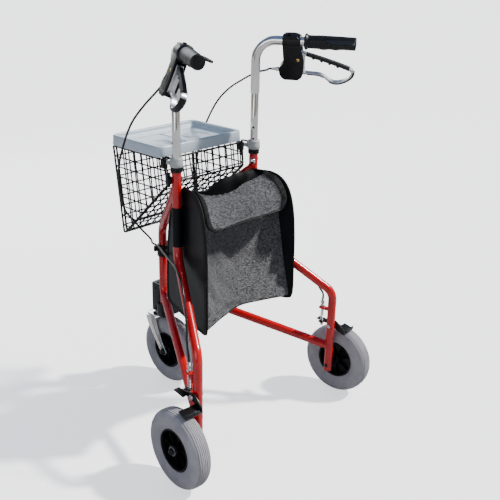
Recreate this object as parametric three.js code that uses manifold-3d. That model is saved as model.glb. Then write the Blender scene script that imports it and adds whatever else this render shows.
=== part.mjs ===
// Folding three-wheeled walker: two hinged side frames, a front caster, loop brakes, basket, tray and bag.
// Millimetres, +Z up. The front points to -Y and the user's left is +X. The origin is on the floor,
// under the middle of the overall box.
import * as THREE from 'three';
import { mergeVertices } from 'three/addons/utils/BufferGeometryUtils.js';
import Module from 'manifold-3d';

const wasm = await Module();
wasm.setup();

// ---------------------------------------------------------------- driving dimensions
const GAP = 0.3; // air left between parts that touch
const HINGE_X = 16.5; // half the distance between the two front hinge tubes
const HINGE_Y = -192.5;
const FRAME_ANGLE = THREE.MathUtils.degToRad(31); // each side frame's plane, from the Y axis
const TOE_ANGLE = THREE.MathUtils.degToRad(5.7); // rear wheel plane, from the Y axis
const WHEEL_TURN = FRAME_ANGLE - TOE_ANGLE; // wheel axis, from the side frame's normal

const TUBE_R = 11.1; // frame tube, 22.2 mm across
const SLIDE_R = 9.5; // lower part of the handle tube
const BORE_R = 9.9; // inside of the receiver post
const POST_U = 218.4; // distance of the post behind the front hinge, along the side frame
const LEG_U = 440; // the same for the rear leg
const POST_TOP = 668;
const POST_BEND_Z = 460;
const RAIL_END_Z = 310;
const LEG_BOTTOM = 79;
const FRONT_TUBE_JOIN_Z = 633;
const FRONT_BEND_Z = 455;
const LOWER_RAIL_FRONT_Z = 270;
const LOWER_RAIL_REAR_Z = 151;
const STUB_R = 9; // lower hinge pin, welded under the front bend
const STUB_BOTTOM = 203;

const WHEEL_R = 95;
const TYRE_W = 46;
const RIM_R = 50;
const HUB_HALF = 20;
const WHEEL_OUT = 51; // wheel centre outboard of the leg, along the axle
const AXLE_R = 5;
const BRAKE_PIVOT_Z = 213;
const BRACKET_Z = 257;
const CABLE_Y = -30; // cable line in front of the leg
const CABLE_R = 2.5;

const GRIP_Z = 945;
const STEP_Z = 818; // where the handle tube gets thicker
const KNOB_Z = 650;
const HOLE_PITCH = 28.3;
const HOLE_COUNT = 4;
const LEVER_TILT = THREE.MathUtils.degToRad(22);
const LEVER_PIVOT = { u: 320, z: -42 };

const CASTER_Y = -230.5;
const CASTER_TRAIL = 48;
const FORK_TOP = 195;
const HOUSING_BOTTOM = 199;

const PANEL_ANGLE = Math.atan(0.31); // bag side panels, from the Y axis
const PANEL_OUTER = -13; // outer face of a panel, inboard of the post's axis
const PANEL_THICK = 3;
const BAG_WALL = 3;
const POST_X = HINGE_X + POST_U * Math.sin(FRAME_ANGLE);
const POST_Y = HINGE_Y + POST_U * Math.cos(FRAME_ANGLE);

// ---------------------------------------------------------------- materials
function paint(color, roughness, metalness) {
  return new THREE.MeshStandardMaterial({ color, roughness, metalness });
}
const MATERIALS = {
  red: paint(0xb01a1e, 0.25, 0.3),
  chrome: paint(0xd8dbe0, 0.12, 1),
  steel: paint(0xa8abb0, 0.35, 0.9),
  brass: paint(0xb08a3c, 0.3, 0.9),
  black: paint(0x1b1c1e, 0.5, 0),
  rubber: paint(0x202124, 0.8, 0),
  grey: paint(0x8e979f, 0.5, 0),
  tray: paint(0x9fb0c0, 0.4, 0),
  tyre: paint(0x9d9aa8, 0.8, 0),
  wire: paint(0x1c1d20, 0.35, 0.4),
  cloth: paint(0x5d6064, 0.7, 0),
  vinyl: paint(0x24272c, 0.6, 0),
};

// ---------------------------------------------------------------- solids
function solidOf(geometry) {
  const bare = geometry.clone();
  bare.deleteAttribute('normal');
  bare.deleteAttribute('uv');
  const merged = mergeVertices(bare, 1e-4);
  const vertProperties = Float32Array.from(merged.attributes.position.array);
  const triVerts = Uint32Array.from(merged.index.array);
  return new wasm.Manifold(new wasm.Mesh({ numProp: 3, vertProperties, triVerts }));
}

function geometryOf(solid) {
  const mesh = solid.getMesh();
  const geometry = new THREE.BufferGeometry();
  geometry.setAttribute('position', new THREE.BufferAttribute(mesh.vertProperties, 3));
  geometry.setIndex(new THREE.BufferAttribute(mesh.triVerts, 1));
  return geometry;
}

function mirrored(geometry) {
  const copy = geometry.clone();
  copy.scale(-1, 1, 1);
  const index = copy.index.array;
  for (let i = 0; i < index.length; i += 3) {
    [index[i], index[i + 1]] = [index[i + 1], index[i]];
  }
  return copy;
}

const union = (...solids) => solids.reduce((whole, piece) => whole.add(piece));
const cut = (solid, ...tools) => tools.reduce((rest, tool) => rest.subtract(tool), solid);

function box(x0, x1, y0, y1, z0, z1) {
  const geometry = new THREE.BoxGeometry(x1 - x0, y1 - y0, z1 - z0);
  geometry.translate((x0 + x1) / 2, (y0 + y1) / 2, (z0 + z1) / 2);
  return solidOf(geometry);
}

// A round bar from one point to another; r1 is the radius at its far end.
function rod(from, to, r0, sides = 20, r1 = r0) {
  const a = new THREE.Vector3(...from);
  const b = new THREE.Vector3(...to);
  const along = b.clone().sub(a);
  const geometry = new THREE.CylinderGeometry(r1, r0, along.length(), sides);
  const up = new THREE.Vector3(0, 1, 0);
  const turn = new THREE.Quaternion().setFromUnitVectors(up, along.clone().normalize());
  geometry.applyQuaternion(turn);
  geometry.translate(...a.add(b).divideScalar(2));
  return solidOf(geometry);
}

// A profile of [radius, distance] turned about the X axis.
function turned(profile, segments = 24) {
  const points = profile.map(([radius, distance]) => new THREE.Vector2(radius, distance));
  const geometry = new THREE.LatheGeometry(points, segments);
  geometry.rotateZ(-Math.PI / 2);
  let solid = solidOf(geometry);
  if (solid.volume() < 0) {
    const flipped = geometry.clone();
    flipped.setIndex(Array.from(flipped.index.array).reverse());
    solid = solidOf(flipped);
  }
  return solid;
}

// An outline in the Y-Z plane, extruded along X from x0 to x1.
function plate(outline, x0, x1, holes = []) {
  const edge = outline.map(([y, z]) => new THREE.Vector2(y, z));
  if (THREE.ShapeUtils.isClockWise(edge)) {
    edge.reverse();
  }
  const shape = new THREE.Shape(edge);
  for (const hole of holes) {
    shape.holes.push(new THREE.Path(hole.map(([y, z]) => new THREE.Vector2(y, z))));
  }
  const geometry = new THREE.ExtrudeGeometry(shape, { depth: x1 - x0, bevelEnabled: false });
  geometry.applyMatrix4(new THREE.Matrix4().set(0, 0, 1, x0, 1, 0, 0, 0, 0, 1, 0, 0, 0, 0, 0, 1));
  return solidOf(geometry);
}

// An outline in the X-Y plane, extruded upwards from z0 to z1.
function slab(outline, z0, z1) {
  const shape = new THREE.Shape(outline.map(([x, y]) => new THREE.Vector2(x, y)));
  const geometry = new THREE.ExtrudeGeometry(shape, { depth: z1 - z0, bevelEnabled: false });
  geometry.translate(0, 0, z0);
  return solidOf(geometry);
}

// A path through a chosen list of stations, so a straight stretch takes a single step.
class StationPath extends THREE.Curve {
  constructor(stations) {
    super();
    this.stations = stations;
  }

  getPoint(t, target = new THREE.Vector3()) {
    const last = this.stations.length - 1;
    const place = Math.min(Math.max(t, 0), 1) * last;
    const i = Math.min(Math.floor(place), last - 1);
    return target.lerpVectors(this.stations[i], this.stations[i + 1], place - i);
  }

  getUtoTmapping(u) {
    return u;
  }
}

// Rounds each inner corner of a polyline with an arc of its own radius.
function bentStations(corners, radii, arcSteps) {
  const points = corners.map((corner) => new THREE.Vector3(...corner));
  const stations = [points[0]];
  for (let i = 1; i < points.length - 1; i += 1) {
    const back = points[i - 1].clone().sub(points[i]).normalize();
    const ahead = points[i + 1].clone().sub(points[i]).normalize();
    const half = back.angleTo(ahead) / 2;
    const inward = back.clone().add(ahead).normalize();
    const centre = points[i].clone().addScaledVector(inward, radii[i - 1] / Math.sin(half));
    const first = points[i].clone().addScaledVector(back, radii[i - 1] / Math.tan(half)).sub(centre);
    const last = points[i].clone().addScaledVector(ahead, radii[i - 1] / Math.tan(half)).sub(centre);
    const axis = first.clone().cross(last).normalize();
    for (let k = 0; k <= arcSteps; k += 1) {
      const angle = (first.angleTo(last) * k) / arcSteps;
      stations.push(first.clone().applyAxisAngle(axis, angle).add(centre));
    }
  }
  stations.push(points[points.length - 1]);
  return stations;
}

function sweep(stations, radius, sides) {
  const ring = [];
  for (let k = 0; k < sides; k += 1) {
    const angle = (2 * Math.PI * k) / sides;
    ring.push(new THREE.Vector2(radius * Math.cos(angle), radius * Math.sin(angle)));
  }
  const options = { extrudePath: new StationPath(stations), steps: stations.length - 1, bevelEnabled: false };
  return solidOf(new THREE.ExtrudeGeometry(new THREE.Shape(ring), options));
}

const tube = (corners, radii, radius, sides = 16, arcSteps = 5) =>
  sweep(bentStations(corners, radii, arcSteps), radius, sides);

function smoothTube(points, radius, sides, steps) {
  const knots = points.map((point) => new THREE.Vector3(...point));
  const spline = new THREE.CatmullRomCurve3(knots, false, 'centripetal');
  return sweep(spline.getSpacedPoints(steps), radius, sides);
}

// ---------------------------------------------------------------- scene graph
const walker = new THREE.Group();

function addMesh(parent, name, solid, material) {
  const mesh = new THREE.Mesh(geometryOf(solid), MATERIALS[material]);
  mesh.name = name;
  parent.add(mesh);
}

// Groups for one side: its frame plane, its wheel and its tilted lever. Local x points outwards.
function makeSide(prefix, hand) {
  const frame = new THREE.Group();
  frame.position.set(hand * HINGE_X, HINGE_Y, 0);
  frame.rotation.z = -hand * FRAME_ANGLE;
  walker.add(frame);
  const wheel = new THREE.Group();
  wheel.position.set(0, LEG_U, 0);
  wheel.rotation.z = hand * WHEEL_TURN;
  frame.add(wheel);
  const lever = new THREE.Group();
  lever.position.set(0, 0, GRIP_Z);
  lever.rotation.y = -hand * LEVER_TILT;
  frame.add(lever);
  const bag = new THREE.Group();
  bag.position.set(0, POST_U, 0);
  bag.rotation.z = hand * (FRAME_ANGLE - PANEL_ANGLE);
  frame.add(bag);
  const add = (parent, name, solid, material) => {
    const geometry = geometryOf(solid);
    const mesh = new THREE.Mesh(hand > 0 ? geometry : mirrored(geometry), MATERIALS[material]);
    mesh.name = `${prefix}_${name}`;
    parent.add(mesh);
  };
  return { prefix, hand, frame, wheel, lever, bag, add };
}

// ---------------------------------------------------------------- side frame
const wheelAxis = [Math.cos(WHEEL_TURN), Math.sin(WHEEL_TURN)];
const alongAxle = (distance, z) => [distance * wheelAxis[0], LEG_U + distance * wheelAxis[1], z];

function frameTube() {
  const corners = [[0, POST_U, POST_TOP], [0, POST_U, POST_BEND_Z], [0, LEG_U, RAIL_END_Z],
    [0, LEG_U, LEG_BOTTOM]];
  const outside = tube(corners, [40, 40], TUBE_R, 16, 6);
  const bore = rod([0, POST_U, 490], [0, POST_U, POST_TOP + 1], BORE_R, 16);
  const bolts = rod([-20, POST_U, KNOB_Z], [20, POST_U, KNOB_Z], 4.4, 12);
  const axleHole = rod(alongAxle(-20, WHEEL_R), alongAxle(20, WHEEL_R), AXLE_R + GAP, 16);
  const pivotHole = rod(alongAxle(-20, BRAKE_PIVOT_Z), alongAxle(20, BRAKE_PIVOT_Z), 4 + GAP, 12);
  return cut(outside, bore, bolts, axleHole, pivotHole);
}

function frontTube() {
  const corners = [
    [0, POST_U, FRONT_TUBE_JOIN_Z],
    [0, 0, FRONT_BEND_Z],
    [0, 0, LOWER_RAIL_FRONT_Z],
    [0, LEG_U, LOWER_RAIL_REAR_Z],
  ];
  const outside = tube(corners, [50, 35], TUBE_R, 16, 6);
  const stub = rod([0, 0, STUB_BOTTOM], [0, 0, 284], STUB_R, 16);
  const coping = TUBE_R + GAP + 0.15;
  const post = rod([0, POST_U, 560], [0, POST_U, 700], coping, 24);
  const leg = rod([0, LEG_U, 100], [0, LEG_U, 210], coping, 24);
  return cut(union(outside, stub), post, leg);
}

function heightCollar() {
  const body = union(
    rod([0, POST_U, 680.3], [0, POST_U, 694], 15.5, 20),
    rod([0, POST_U, 694], [0, POST_U, 702], 15.5, 20, 13.6),
  );
  const lug = box(-8, 8, -27, -8, 683, 691);
  const turnedLug = lug.rotate([0, 0, THREE.MathUtils.radToDeg(FRAME_ANGLE)]).translate([0, POST_U, 0]);
  return cut(union(body, turnedLug), rod([0, POST_U, 600], [0, POST_U, 720], BORE_R, 16));
}

function collarRing() {
  const outside = rod([0, POST_U, POST_TOP + GAP], [0, POST_U, 680], 14, 20);
  return cut(outside, rod([0, POST_U, 600], [0, POST_U, 720], BORE_R, 16));
}

function heightKnob() {
  const screw = rod([10.2, POST_U, KNOB_Z], [13, POST_U, KNOB_Z], 4, 12);
  const body = rod([11.6, POST_U, KNOB_Z], [22, POST_U, KNOB_Z], 8.5, 14);
  const wings = plate([[POST_U + 3, KNOB_Z - 17], [POST_U - 4, KNOB_Z - 15], [POST_U - 3, KNOB_Z + 15],
    [POST_U + 4, KNOB_Z + 17]], 15, 22);
  return union(screw, body, wings);
}

function domeBolt() {
  const shank = rod([-10.2, POST_U, KNOB_Z], [-11.8, POST_U, KNOB_Z], 4, 12);
  const head = rod([-11.6, POST_U, KNOB_Z], [-15.5, POST_U, KNOB_Z], 7, 14, 3.5);
  return union(shank, head);
}

// ---------------------------------------------------------------- rear wheel and brake (wheel group)
const legCoping = () => rod([0, 0, 60], [0, 0, 320], TUBE_R + GAP + 0.15, 24);

function axleBolt() {
  const tip = WHEEL_OUT + HUB_HALF + 8;
  return union(
    rod([-13.4, 0, WHEEL_R], [-11.4, 0, WHEEL_R], 5.6, 14),
    rod([-12, 0, WHEEL_R], [tip, 0, WHEEL_R], AXLE_R - 0.1, 16),
    rod([11.6, 0, WHEEL_R], [WHEEL_OUT - HUB_HALF - GAP, 0, WHEEL_R], 8, 16),
    rod([WHEEL_OUT + HUB_HALF + GAP, 0, WHEEL_R], [tip + 1, 0, WHEEL_R], 9, 16, 7),
  );
}

// Tyre section: tread crown, round shoulders, side walls and the bead seat, as [radius, distance].
function tyreSolid() {
  const half = TYRE_W / 2;
  const profile = [[RIM_R + GAP, -16], [58, -20.5], [70, -half], [82, -20.5], [90, -14.5], [94.2, -7],
    [WHEEL_R, 0], [94.2, 7], [90, 14.5], [82, 20.5], [70, half], [58, 20.5], [RIM_R + GAP, 16],
    [RIM_R + GAP, -16]];
  return turned(profile, 32);
}

function hubSolid() {
  const bore = AXLE_R + GAP;
  const profile = [[bore, -HUB_HALF], [12, -HUB_HALF], [13, -8], [40, -5], [41, -17], [RIM_R, -17],
    [RIM_R, 17], [41, 17], [40, 5], [13, 8], [12, HUB_HALF], [bore, HUB_HALF], [bore, -HUB_HALF]];
  return turned(profile, 24);
}

function cableBracket() {
  const shelf = box(-7, 9, -38, -6, BRACKET_Z - 2, BRACKET_Z + 2);
  const gusset = plate([[-24, BRACKET_Z - 2], [-6, BRACKET_Z - 2], [-6, BRACKET_Z - 16]], 5, 9);
  const hole = rod([2, CABLE_Y, BRACKET_Z - 4], [2, CABLE_Y, BRACKET_Z + 4], 3, 12);
  return cut(union(shelf, gusset), hole, legCoping());
}

function cableAdjuster() {
  const base = BRACKET_Z + 2 + GAP;
  return union(
    rod([2, CABLE_Y, base], [2, CABLE_Y, base + 5], 5.5, 6),
    rod([2, CABLE_Y, base + 4], [2, CABLE_Y, base + 26], 3.6, 12),
  );
}

function brakeSpring() {
  return rod([2, CABLE_Y, 217 + GAP], [2, CABLE_Y, BRACKET_Z - 2 - GAP], 4.2, 10);
}

function brakePivotBolt() {
  return union(
    rod([-13, 0, BRAKE_PIVOT_Z], [-11.2, 0, BRAKE_PIVOT_Z], 4.6, 12),
    rod([-12, 0, BRAKE_PIVOT_Z], [21.5, 0, BRAKE_PIVOT_Z], 3.9, 12),
    rod([17.2, 0, BRAKE_PIVOT_Z], [22, 0, BRAKE_PIVOT_Z], 7, 6),
  );
}

// Pivoted arm: the cable pulls its front tab up, which presses the shoe down on the tyre.
function brakeArm() {
  const side = plate([[-43, 209], [-42, 215], [-24, 217.5], [-8, 222], [6, 223], [20, 215], [33, 200],
    [36, 190.5], [30, 188.5], [18, 193.5], [0, 203], [-20, 207]], 12.6, 16.6);
  const tab = box(-5, 14, -37, -23, 213, 217);
  const paddle = plate([[-53, 210.5], [-52.5, 214], [-18, 211], [-18, 208]], 13, 29);
  const shoe = plate([[8, 196.5], [9, 200], [36, 191.5], [35, 188]], 14, 60);
  const flange = plate([[32.6, 188.8], [36, 190], [37, 200], [34, 200]], 22, 60);
  const nut = rod([2, CABLE_Y, 206], [2, CABLE_Y, 214], 4, 6);
  const hole = rod([0, 0, BRAKE_PIVOT_Z], [30, 0, BRAKE_PIVOT_Z], 3.9 + GAP + 0.1, 14);
  return cut(union(side, tab, paddle, shoe, flange, nut), hole);
}

// ---------------------------------------------------------------- handle (frame group and lever group)
function handleTube() {
  const lower = rod([0, POST_U, 600], [0, POST_U, STEP_Z + 4], SLIDE_R, 16);
  const step = rod([0, POST_U, STEP_Z], [0, POST_U, STEP_Z + 3], SLIDE_R, 16, TUBE_R);
  const corners = [[0, POST_U, STEP_Z + 2.9], [0, POST_U, GRIP_Z], [0, 447, GRIP_Z]];
  const upper = tube(corners, [48], TUBE_R, 16, 8);
  const holes = [];
  for (let k = 0; k < HOLE_COUNT; k += 1) {
    const z = KNOB_Z + k * HOLE_PITCH;
    holes.push(rod([-15, POST_U, z], [15, POST_U, z], 3.4, 10));
  }
  return cut(union(lower, step, upper), ...holes);
}

function leverHousing() {
  const outline = [[284, 0], [284, 13], [290, 15.5], [318, 15.5], [325, 11], [327, -4], [334, -46],
    [331, -80], [318, -98], [284, -98], [274, -88], [272, -66], [285, -52]];
  const body = plate(outline, -13, 13);
  const boss = rod([0, 296, 14], [0, 296, 19], 5, 12);
  const bore = rod([0, 270, 0], [0, 340, 0], TUBE_R + GAP, 20);
  const slot = box(-8.2, 8.2, 306, 340, -99, -16);
  const pinHole = rod([-20, LEVER_PIVOT.u, LEVER_PIVOT.z], [20, LEVER_PIVOT.u, LEVER_PIVOT.z], 3 + GAP, 14);
  return cut(union(body, boss), bore, slot, pinHole);
}

function leverPin() {
  return rod([-13.6, LEVER_PIVOT.u, LEVER_PIVOT.z], [13.6, LEVER_PIVOT.u, LEVER_PIVOT.z], 2.9, 14);
}

function cableFerrule() {
  return union(rod([0, 271.4, -76], [0, 263, -76], 5, 12), rod([0, 264, -76], [0, 254, -76], 3.6, 12));
}

function brakeLever() {
  const outline = [[312, -40], [314, -26], [325, -22], [345, -29], [400, -46], [436, -60], [449, -68],
    [453, -76], [448, -86], [434, -98], [416, -108], [402, -109], [388, -103], [374, -93], [356, -88],
    [322, -87], [315, -60]];
  const loop = [[334, -38], [345, -40], [398, -57], [430, -69], [441, -76], [430, -88], [412, -98],
    [402, -98], [390, -92], [376, -83], [356, -78], [334, -77]];
  const { u, z } = LEVER_PIVOT;
  const hole = rod([-20, u, z], [20, u, z], 2.9 + GAP + 0.1, 14);
  return cut(plate(outline, -7.4, 7.4, [loop]), hole);
}

function grip() {
  const profile = [[0, 335], [19, 335], [19, 340], [15.5, 343], [15, 362], [16.8, 376], [15.4, 390],
    [16.8, 404], [16, 420], [17.5, 446], [16, 455], [0, 455]];
  const round = turned(profile, 20).rotate([0, 0, 90]);
  const wing = slab([[-10, 385], [-26, 400], [-31, 425], [-30, 450], [-10, 453]], 7, 12);
  const bore = rod([0, 330, 0], [0, 447.6, 0], TUBE_R + GAP, 20);
  return cut(union(round, wing), bore);
}

// ---------------------------------------------------------------- brake cables (world coordinates)
// Upper run of each cable, from the lever's ferrule to its clip on the upper clamp, chosen by hand.
const LEFT_RUN = [
  [174, -21, 849], [186, -48, 818], [197, -76, 779], [200, -106, 722], [194, -134, 663], [184, -146, 600],
  [170, -148, 551], [140, -136, 505], [100, -142, 462], [62, -178, 428],
];
const RIGHT_RUN = [
  [-171, -6, 870], [-173, -32, 863], [-178, -70, 848], [-188, -113, 828],
  [-193, -153, 806], [-192, -198, 766], [-178, -226, 707], [-166, -240, 650], [-156, -244, 590],
  [-150, -238, 530], [-138, -224, 478], [-92, -204, 436],
];
const CABLE_CLIP = [45, -186, 417];
const CABLE_OUT = 15.5; // lower run, outboard of the frame tubes: [distance back, height] in the frame group
const LOWER_RUN = {
  left: [[55, 419], [104, 427], [160, 436], [223, 447], [273, 453], [310, 451], [341, 444], [364, 430],
    [381, 408], [391, 380], [398, 352], [397, 325]],
  right: [[55, 419], [104, 427], [160, 436], [223, 446], [280, 418], [320, 391], [360, 364], [392, 340],
    [401, 315]],
};

function worldPoint(side, group, point) {
  walker.updateMatrixWorld(true);
  const local = new THREE.Vector3(side.hand * point[0], point[1], point[2]);
  return group.localToWorld(local).toArray();
}

function brakeCable(side) {
  const clip = [side.hand * CABLE_CLIP[0], CABLE_CLIP[1], CABLE_CLIP[2]];
  const lower = LOWER_RUN[side.prefix].map(([u, z]) => worldPoint(side, side.frame, [CABLE_OUT, u, z]));
  const above = BRACKET_Z + 2 + GAP;
  return smoothTube([
    worldPoint(side, side.lever, [0, 252.4, -76]),
    worldPoint(side, side.lever, [0, 247, -76]),
    ...(side.hand > 0 ? LEFT_RUN : RIGHT_RUN),
    clip,
    ...lower,
    worldPoint(side, side.wheel, [2, CABLE_Y - 1, above + 38]),
    worldPoint(side, side.wheel, [2, CABLE_Y, above + 27.4]),
  ], CABLE_R, 8, 60);
}

// ---------------------------------------------------------------- head and caster (world coordinates)
function roundedSlab(x0, x1, y0, y1, z0, z1, corner) {
  const outline = [[x0 + corner, y0], [x1 - corner, y0], [x1, y0 + corner], [x1, y1 - corner],
    [x1 - corner, y1], [x0 + corner, y1], [x0, y1 - corner], [x0, y0 + corner]];
  return slab(outline, z0, z1);
}

function upperHingeClamp() {
  const body = roundedSlab(-31, 31, HINGE_Y - 14.5, HINGE_Y + 14.5, 377, 410, 10);
  const bores = [-HINGE_X, HINGE_X].map((x) => rod([x, HINGE_Y, 370], [x, HINGE_Y, 420], TUBE_R + 0.4, 24));
  return cut(body, ...bores);
}

function casterHousing() {
  const front = roundedSlab(-15, 15, -246, -207, HOUSING_BOTTOM, 283, 4);
  const foot = roundedSlab(-31, 31, -209, -176, HOUSING_BOTTOM, 236, 4);
  const bores = [-HINGE_X, HINGE_X].map((x) => rod([x, HINGE_Y, 190], [x, HINGE_Y, 240], STUB_R + 0.4, 24));
  const stemBore = rod([0, CASTER_Y, 190], [0, CASTER_Y, 272], 7.6, 20);
  return cut(union(front, foot), ...bores, stemBore);
}

function casterStem() {
  return union(
    rod([0, CASTER_Y, FORK_TOP + GAP], [0, CASTER_Y, 198.6], 13, 20),
    rod([0, CASTER_Y, 197], [0, CASTER_Y, 270], 7.2, 16),
  );
}

const WHEEL_Y = CASTER_Y + CASTER_TRAIL;

function casterFork() {
  const crown = roundedSlab(-31, 31, -253.5, -213.5, 187.5, FORK_TOP, 5);
  const bladeOutline = [[-253, 192], [-250, FORK_TOP], [-214, FORK_TOP], [-205, 180], [-172, 103], [-171, 94],
    [-176, 85], [-186, 84], [-194, 91], [-238, 165]];
  const blades = [-1, 1].map((hand) => plate(bladeOutline, hand > 0 ? 27.5 : -31, hand > 0 ? 31 : -27.5));
  const axleHole = rod([-40, WHEEL_Y, WHEEL_R], [40, WHEEL_Y, WHEEL_R], AXLE_R + GAP, 16);
  return cut(union(crown, ...blades), axleHole);
}

function frontAxle() {
  const pieces = [rod([-38, WHEEL_Y, WHEEL_R], [38, WHEEL_Y, WHEEL_R], AXLE_R - 0.1, 16)];
  for (const hand of [-1, 1]) {
    const spacer = [hand * (HUB_HALF + GAP), hand * 27.2];
    const nut = [hand * 31.3, hand * 38.5];
    pieces.push(rod([spacer[0], WHEEL_Y, WHEEL_R], [spacer[1], WHEEL_Y, WHEEL_R], 8, 14));
    pieces.push(rod([nut[0], WHEEL_Y, WHEEL_R], [nut[1], WHEEL_Y, WHEEL_R], 9, 6, 7));
  }
  return union(...pieces);
}

// ---------------------------------------------------------------- basket, tray and bag (world coordinates)
const BASKET = { top: 690, half: 133, front: -236, rear: -47, lowFront: -213.5, lowFrontZ: 460, lowRear: -36,
  lowRearZ: 627, lowHalf: 127, wall: 3 };

// A tapering box whose floor slopes up to the rear.
function basketBlock(inset, topZ, floorRise) {
  const b = BASKET;
  const geometry = new THREE.BoxGeometry(1, 1, 1);
  const place = geometry.attributes.position;
  for (let i = 0; i < place.count; i += 1) {
    const hand = Math.sign(place.getX(i));
    const atRear = place.getY(i) > 0;
    if (place.getZ(i) > 0) {
      place.setXYZ(i, hand * (b.half - inset), atRear ? b.rear - inset : b.front + inset, topZ);
    } else {
      const y = atRear ? b.lowRear - inset : b.lowFront + inset;
      place.setXYZ(i, hand * (b.lowHalf - inset), y, (atRear ? b.lowRearZ : b.lowFrontZ) + floorRise);
    }
  }
  return solidOf(geometry);
}

function basket() {
  const shell = cut(basketBlock(0, BASKET.top, 0), basketBlock(BASKET.wall, BASKET.top + 20, BASKET.wall));
  const hooks = [-1, 1].map((hand) => {
    const x0 = hand > 0 ? 121 : -134;
    return union(
      box(x0, x0 + 13, -44, -22, 692, 696),
      box(x0 + 1, x0 + 11, -48.2, -42, 670, 696),
    );
  });
  return union(shell, ...hooks);
}

function tray() {
  const rim = roundedSlab(-138, 138, -239.5, -51, 690 + GAP, 717, 12);
  const recess = roundedSlab(-126, 126, -228, -63, 700, 720, 10);
  const underside = roundedSlab(-134.5, 134.5, -236.5, -54, 680, 697, 10);
  return cut(rim, recess, underside.intersect(box(-200, 200, -300, 0, 680, 694)));
}

// Side outline of the bag, as [distance behind the post's axis, height].
const BAG_OUTLINE = [[-92, 320], [-84, 307], [-72, 303], [112, 301], [122, 306], [125, 322], [124, 480],
  [116, 560], [103, 598], [84, 620], [58, 630], [6, 630], [-6, 610], [-30, 583], [-64, 556], [-82, 500],
  [-92, 400]];

function bagPanel() {
  return plate(BAG_OUTLINE, PANEL_OUTER - PANEL_THICK, PANEL_OUTER);
}

function bagSleeve() {
  const outside = rod([0, 0, 487], [0, 0, 583], 12.75, 20);
  return cut(outside, rod([0, 0, 480], [0, 0, 590], TUBE_R + GAP, 20));
}

// Half the width of the cloth between the two panels, at a distance behind the post.
const clothHalf = (y) => POST_X + Math.tan(PANEL_ANGLE) * (y - POST_Y)
  + (PANEL_OUTER - PANEL_THICK - 1) / Math.cos(PANEL_ANGLE);

// Side outlines of the cloth, each row as [distance behind the post's axis, height]: first where it
// meets the panels, then halfway between them, where it sags and is drawn in.
const BODY_ROWS = [
  [[51, 630], [44, 590]], [[30, 630], [24, 582]], [[6, 629], [6, 606]], [[-6, 609], [-4, 603]],
  [[-30, 583], [-22, 572]], [[-64, 556], [-54, 547]], [[-82, 500], [-72, 494]], [[-92, 400], [-86, 396]],
  [[-92, 320], [-88, 322]], [[-84, 307], [-82, 308]], [[-72, 303], [-70, 304]], [[112, 301], [80, 302]],
  [[120, 306], [88, 306]], [[111, 380], [79, 380]], [[98, 450], [73, 450]], [[86, 522], [74, 522]],
  [[69, 588], [64, 586]],
];
const FLAP_ROWS = [
  [[53, 630], [50, 606]], [[84, 620], [71, 600]], [[103, 597], [92, 585]], [[114, 566], [108, 562]],
  [[119, 546], [115, 545]],
];

// A sheet whose rows run from panel to panel; the rows go round the bag from the top, forwards and down.
function clothSheet(rows, columns = 8) {
  const outside = [];
  for (const [edge, middle] of rows) {
    const row = [];
    for (let k = 0; k <= columns; k += 1) {
      const across = (2 * k) / columns - 1;
      const sag = 1 - across * across;
      row.push(new THREE.Vector2(...edge).lerp(new THREE.Vector2(...middle), sag));
    }
    outside.push(row);
  }
  const positions = [];
  const addGrid = (depth) => outside.forEach((row, i) => row.forEach((point, k) => {
    const after = outside[Math.min(i + 1, rows.length - 1)][k];
    const before = outside[Math.max(i - 1, 0)][k];
    const along = after.clone().sub(before).normalize();
    const y = POST_Y + (point.x - along.y * depth) * Math.cos(PANEL_ANGLE);
    positions.push(((2 * k) / columns - 1) * clothHalf(y), y, point.y + along.x * depth);
  }));
  addGrid(0);
  addGrid(BAG_WALL);
  const index = [];
  const quad = (a, b, c, d) => index.push(a, b, c, a, c, d);
  const inner = rows.length * (columns + 1);
  const at = (i, k) => i * (columns + 1) + k;
  for (let i = 0; i < rows.length - 1; i += 1) {
    for (let k = 0; k < columns; k += 1) {
      quad(at(i, k), at(i + 1, k), at(i + 1, k + 1), at(i, k + 1));
      quad(inner + at(i, k), inner + at(i, k + 1), inner + at(i + 1, k + 1), inner + at(i + 1, k));
    }
    quad(at(i, 0), inner + at(i, 0), inner + at(i + 1, 0), at(i + 1, 0));
    quad(at(i, columns), at(i + 1, columns), inner + at(i + 1, columns), inner + at(i, columns));
  }
  const last = rows.length - 1;
  for (let k = 0; k < columns; k += 1) {
    quad(at(0, k), at(0, k + 1), inner + at(0, k + 1), inner + at(0, k));
    quad(at(last, k), inner + at(last, k), inner + at(last, k + 1), at(last, k + 1));
  }
  const geometry = new THREE.BufferGeometry();
  geometry.setAttribute('position', new THREE.Float32BufferAttribute(positions, 3));
  geometry.setIndex(index);
  return solidOf(geometry);
}

// ---------------------------------------------------------------- assembly
const sides = [makeSide('left', 1), makeSide('right', -1)];

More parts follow.
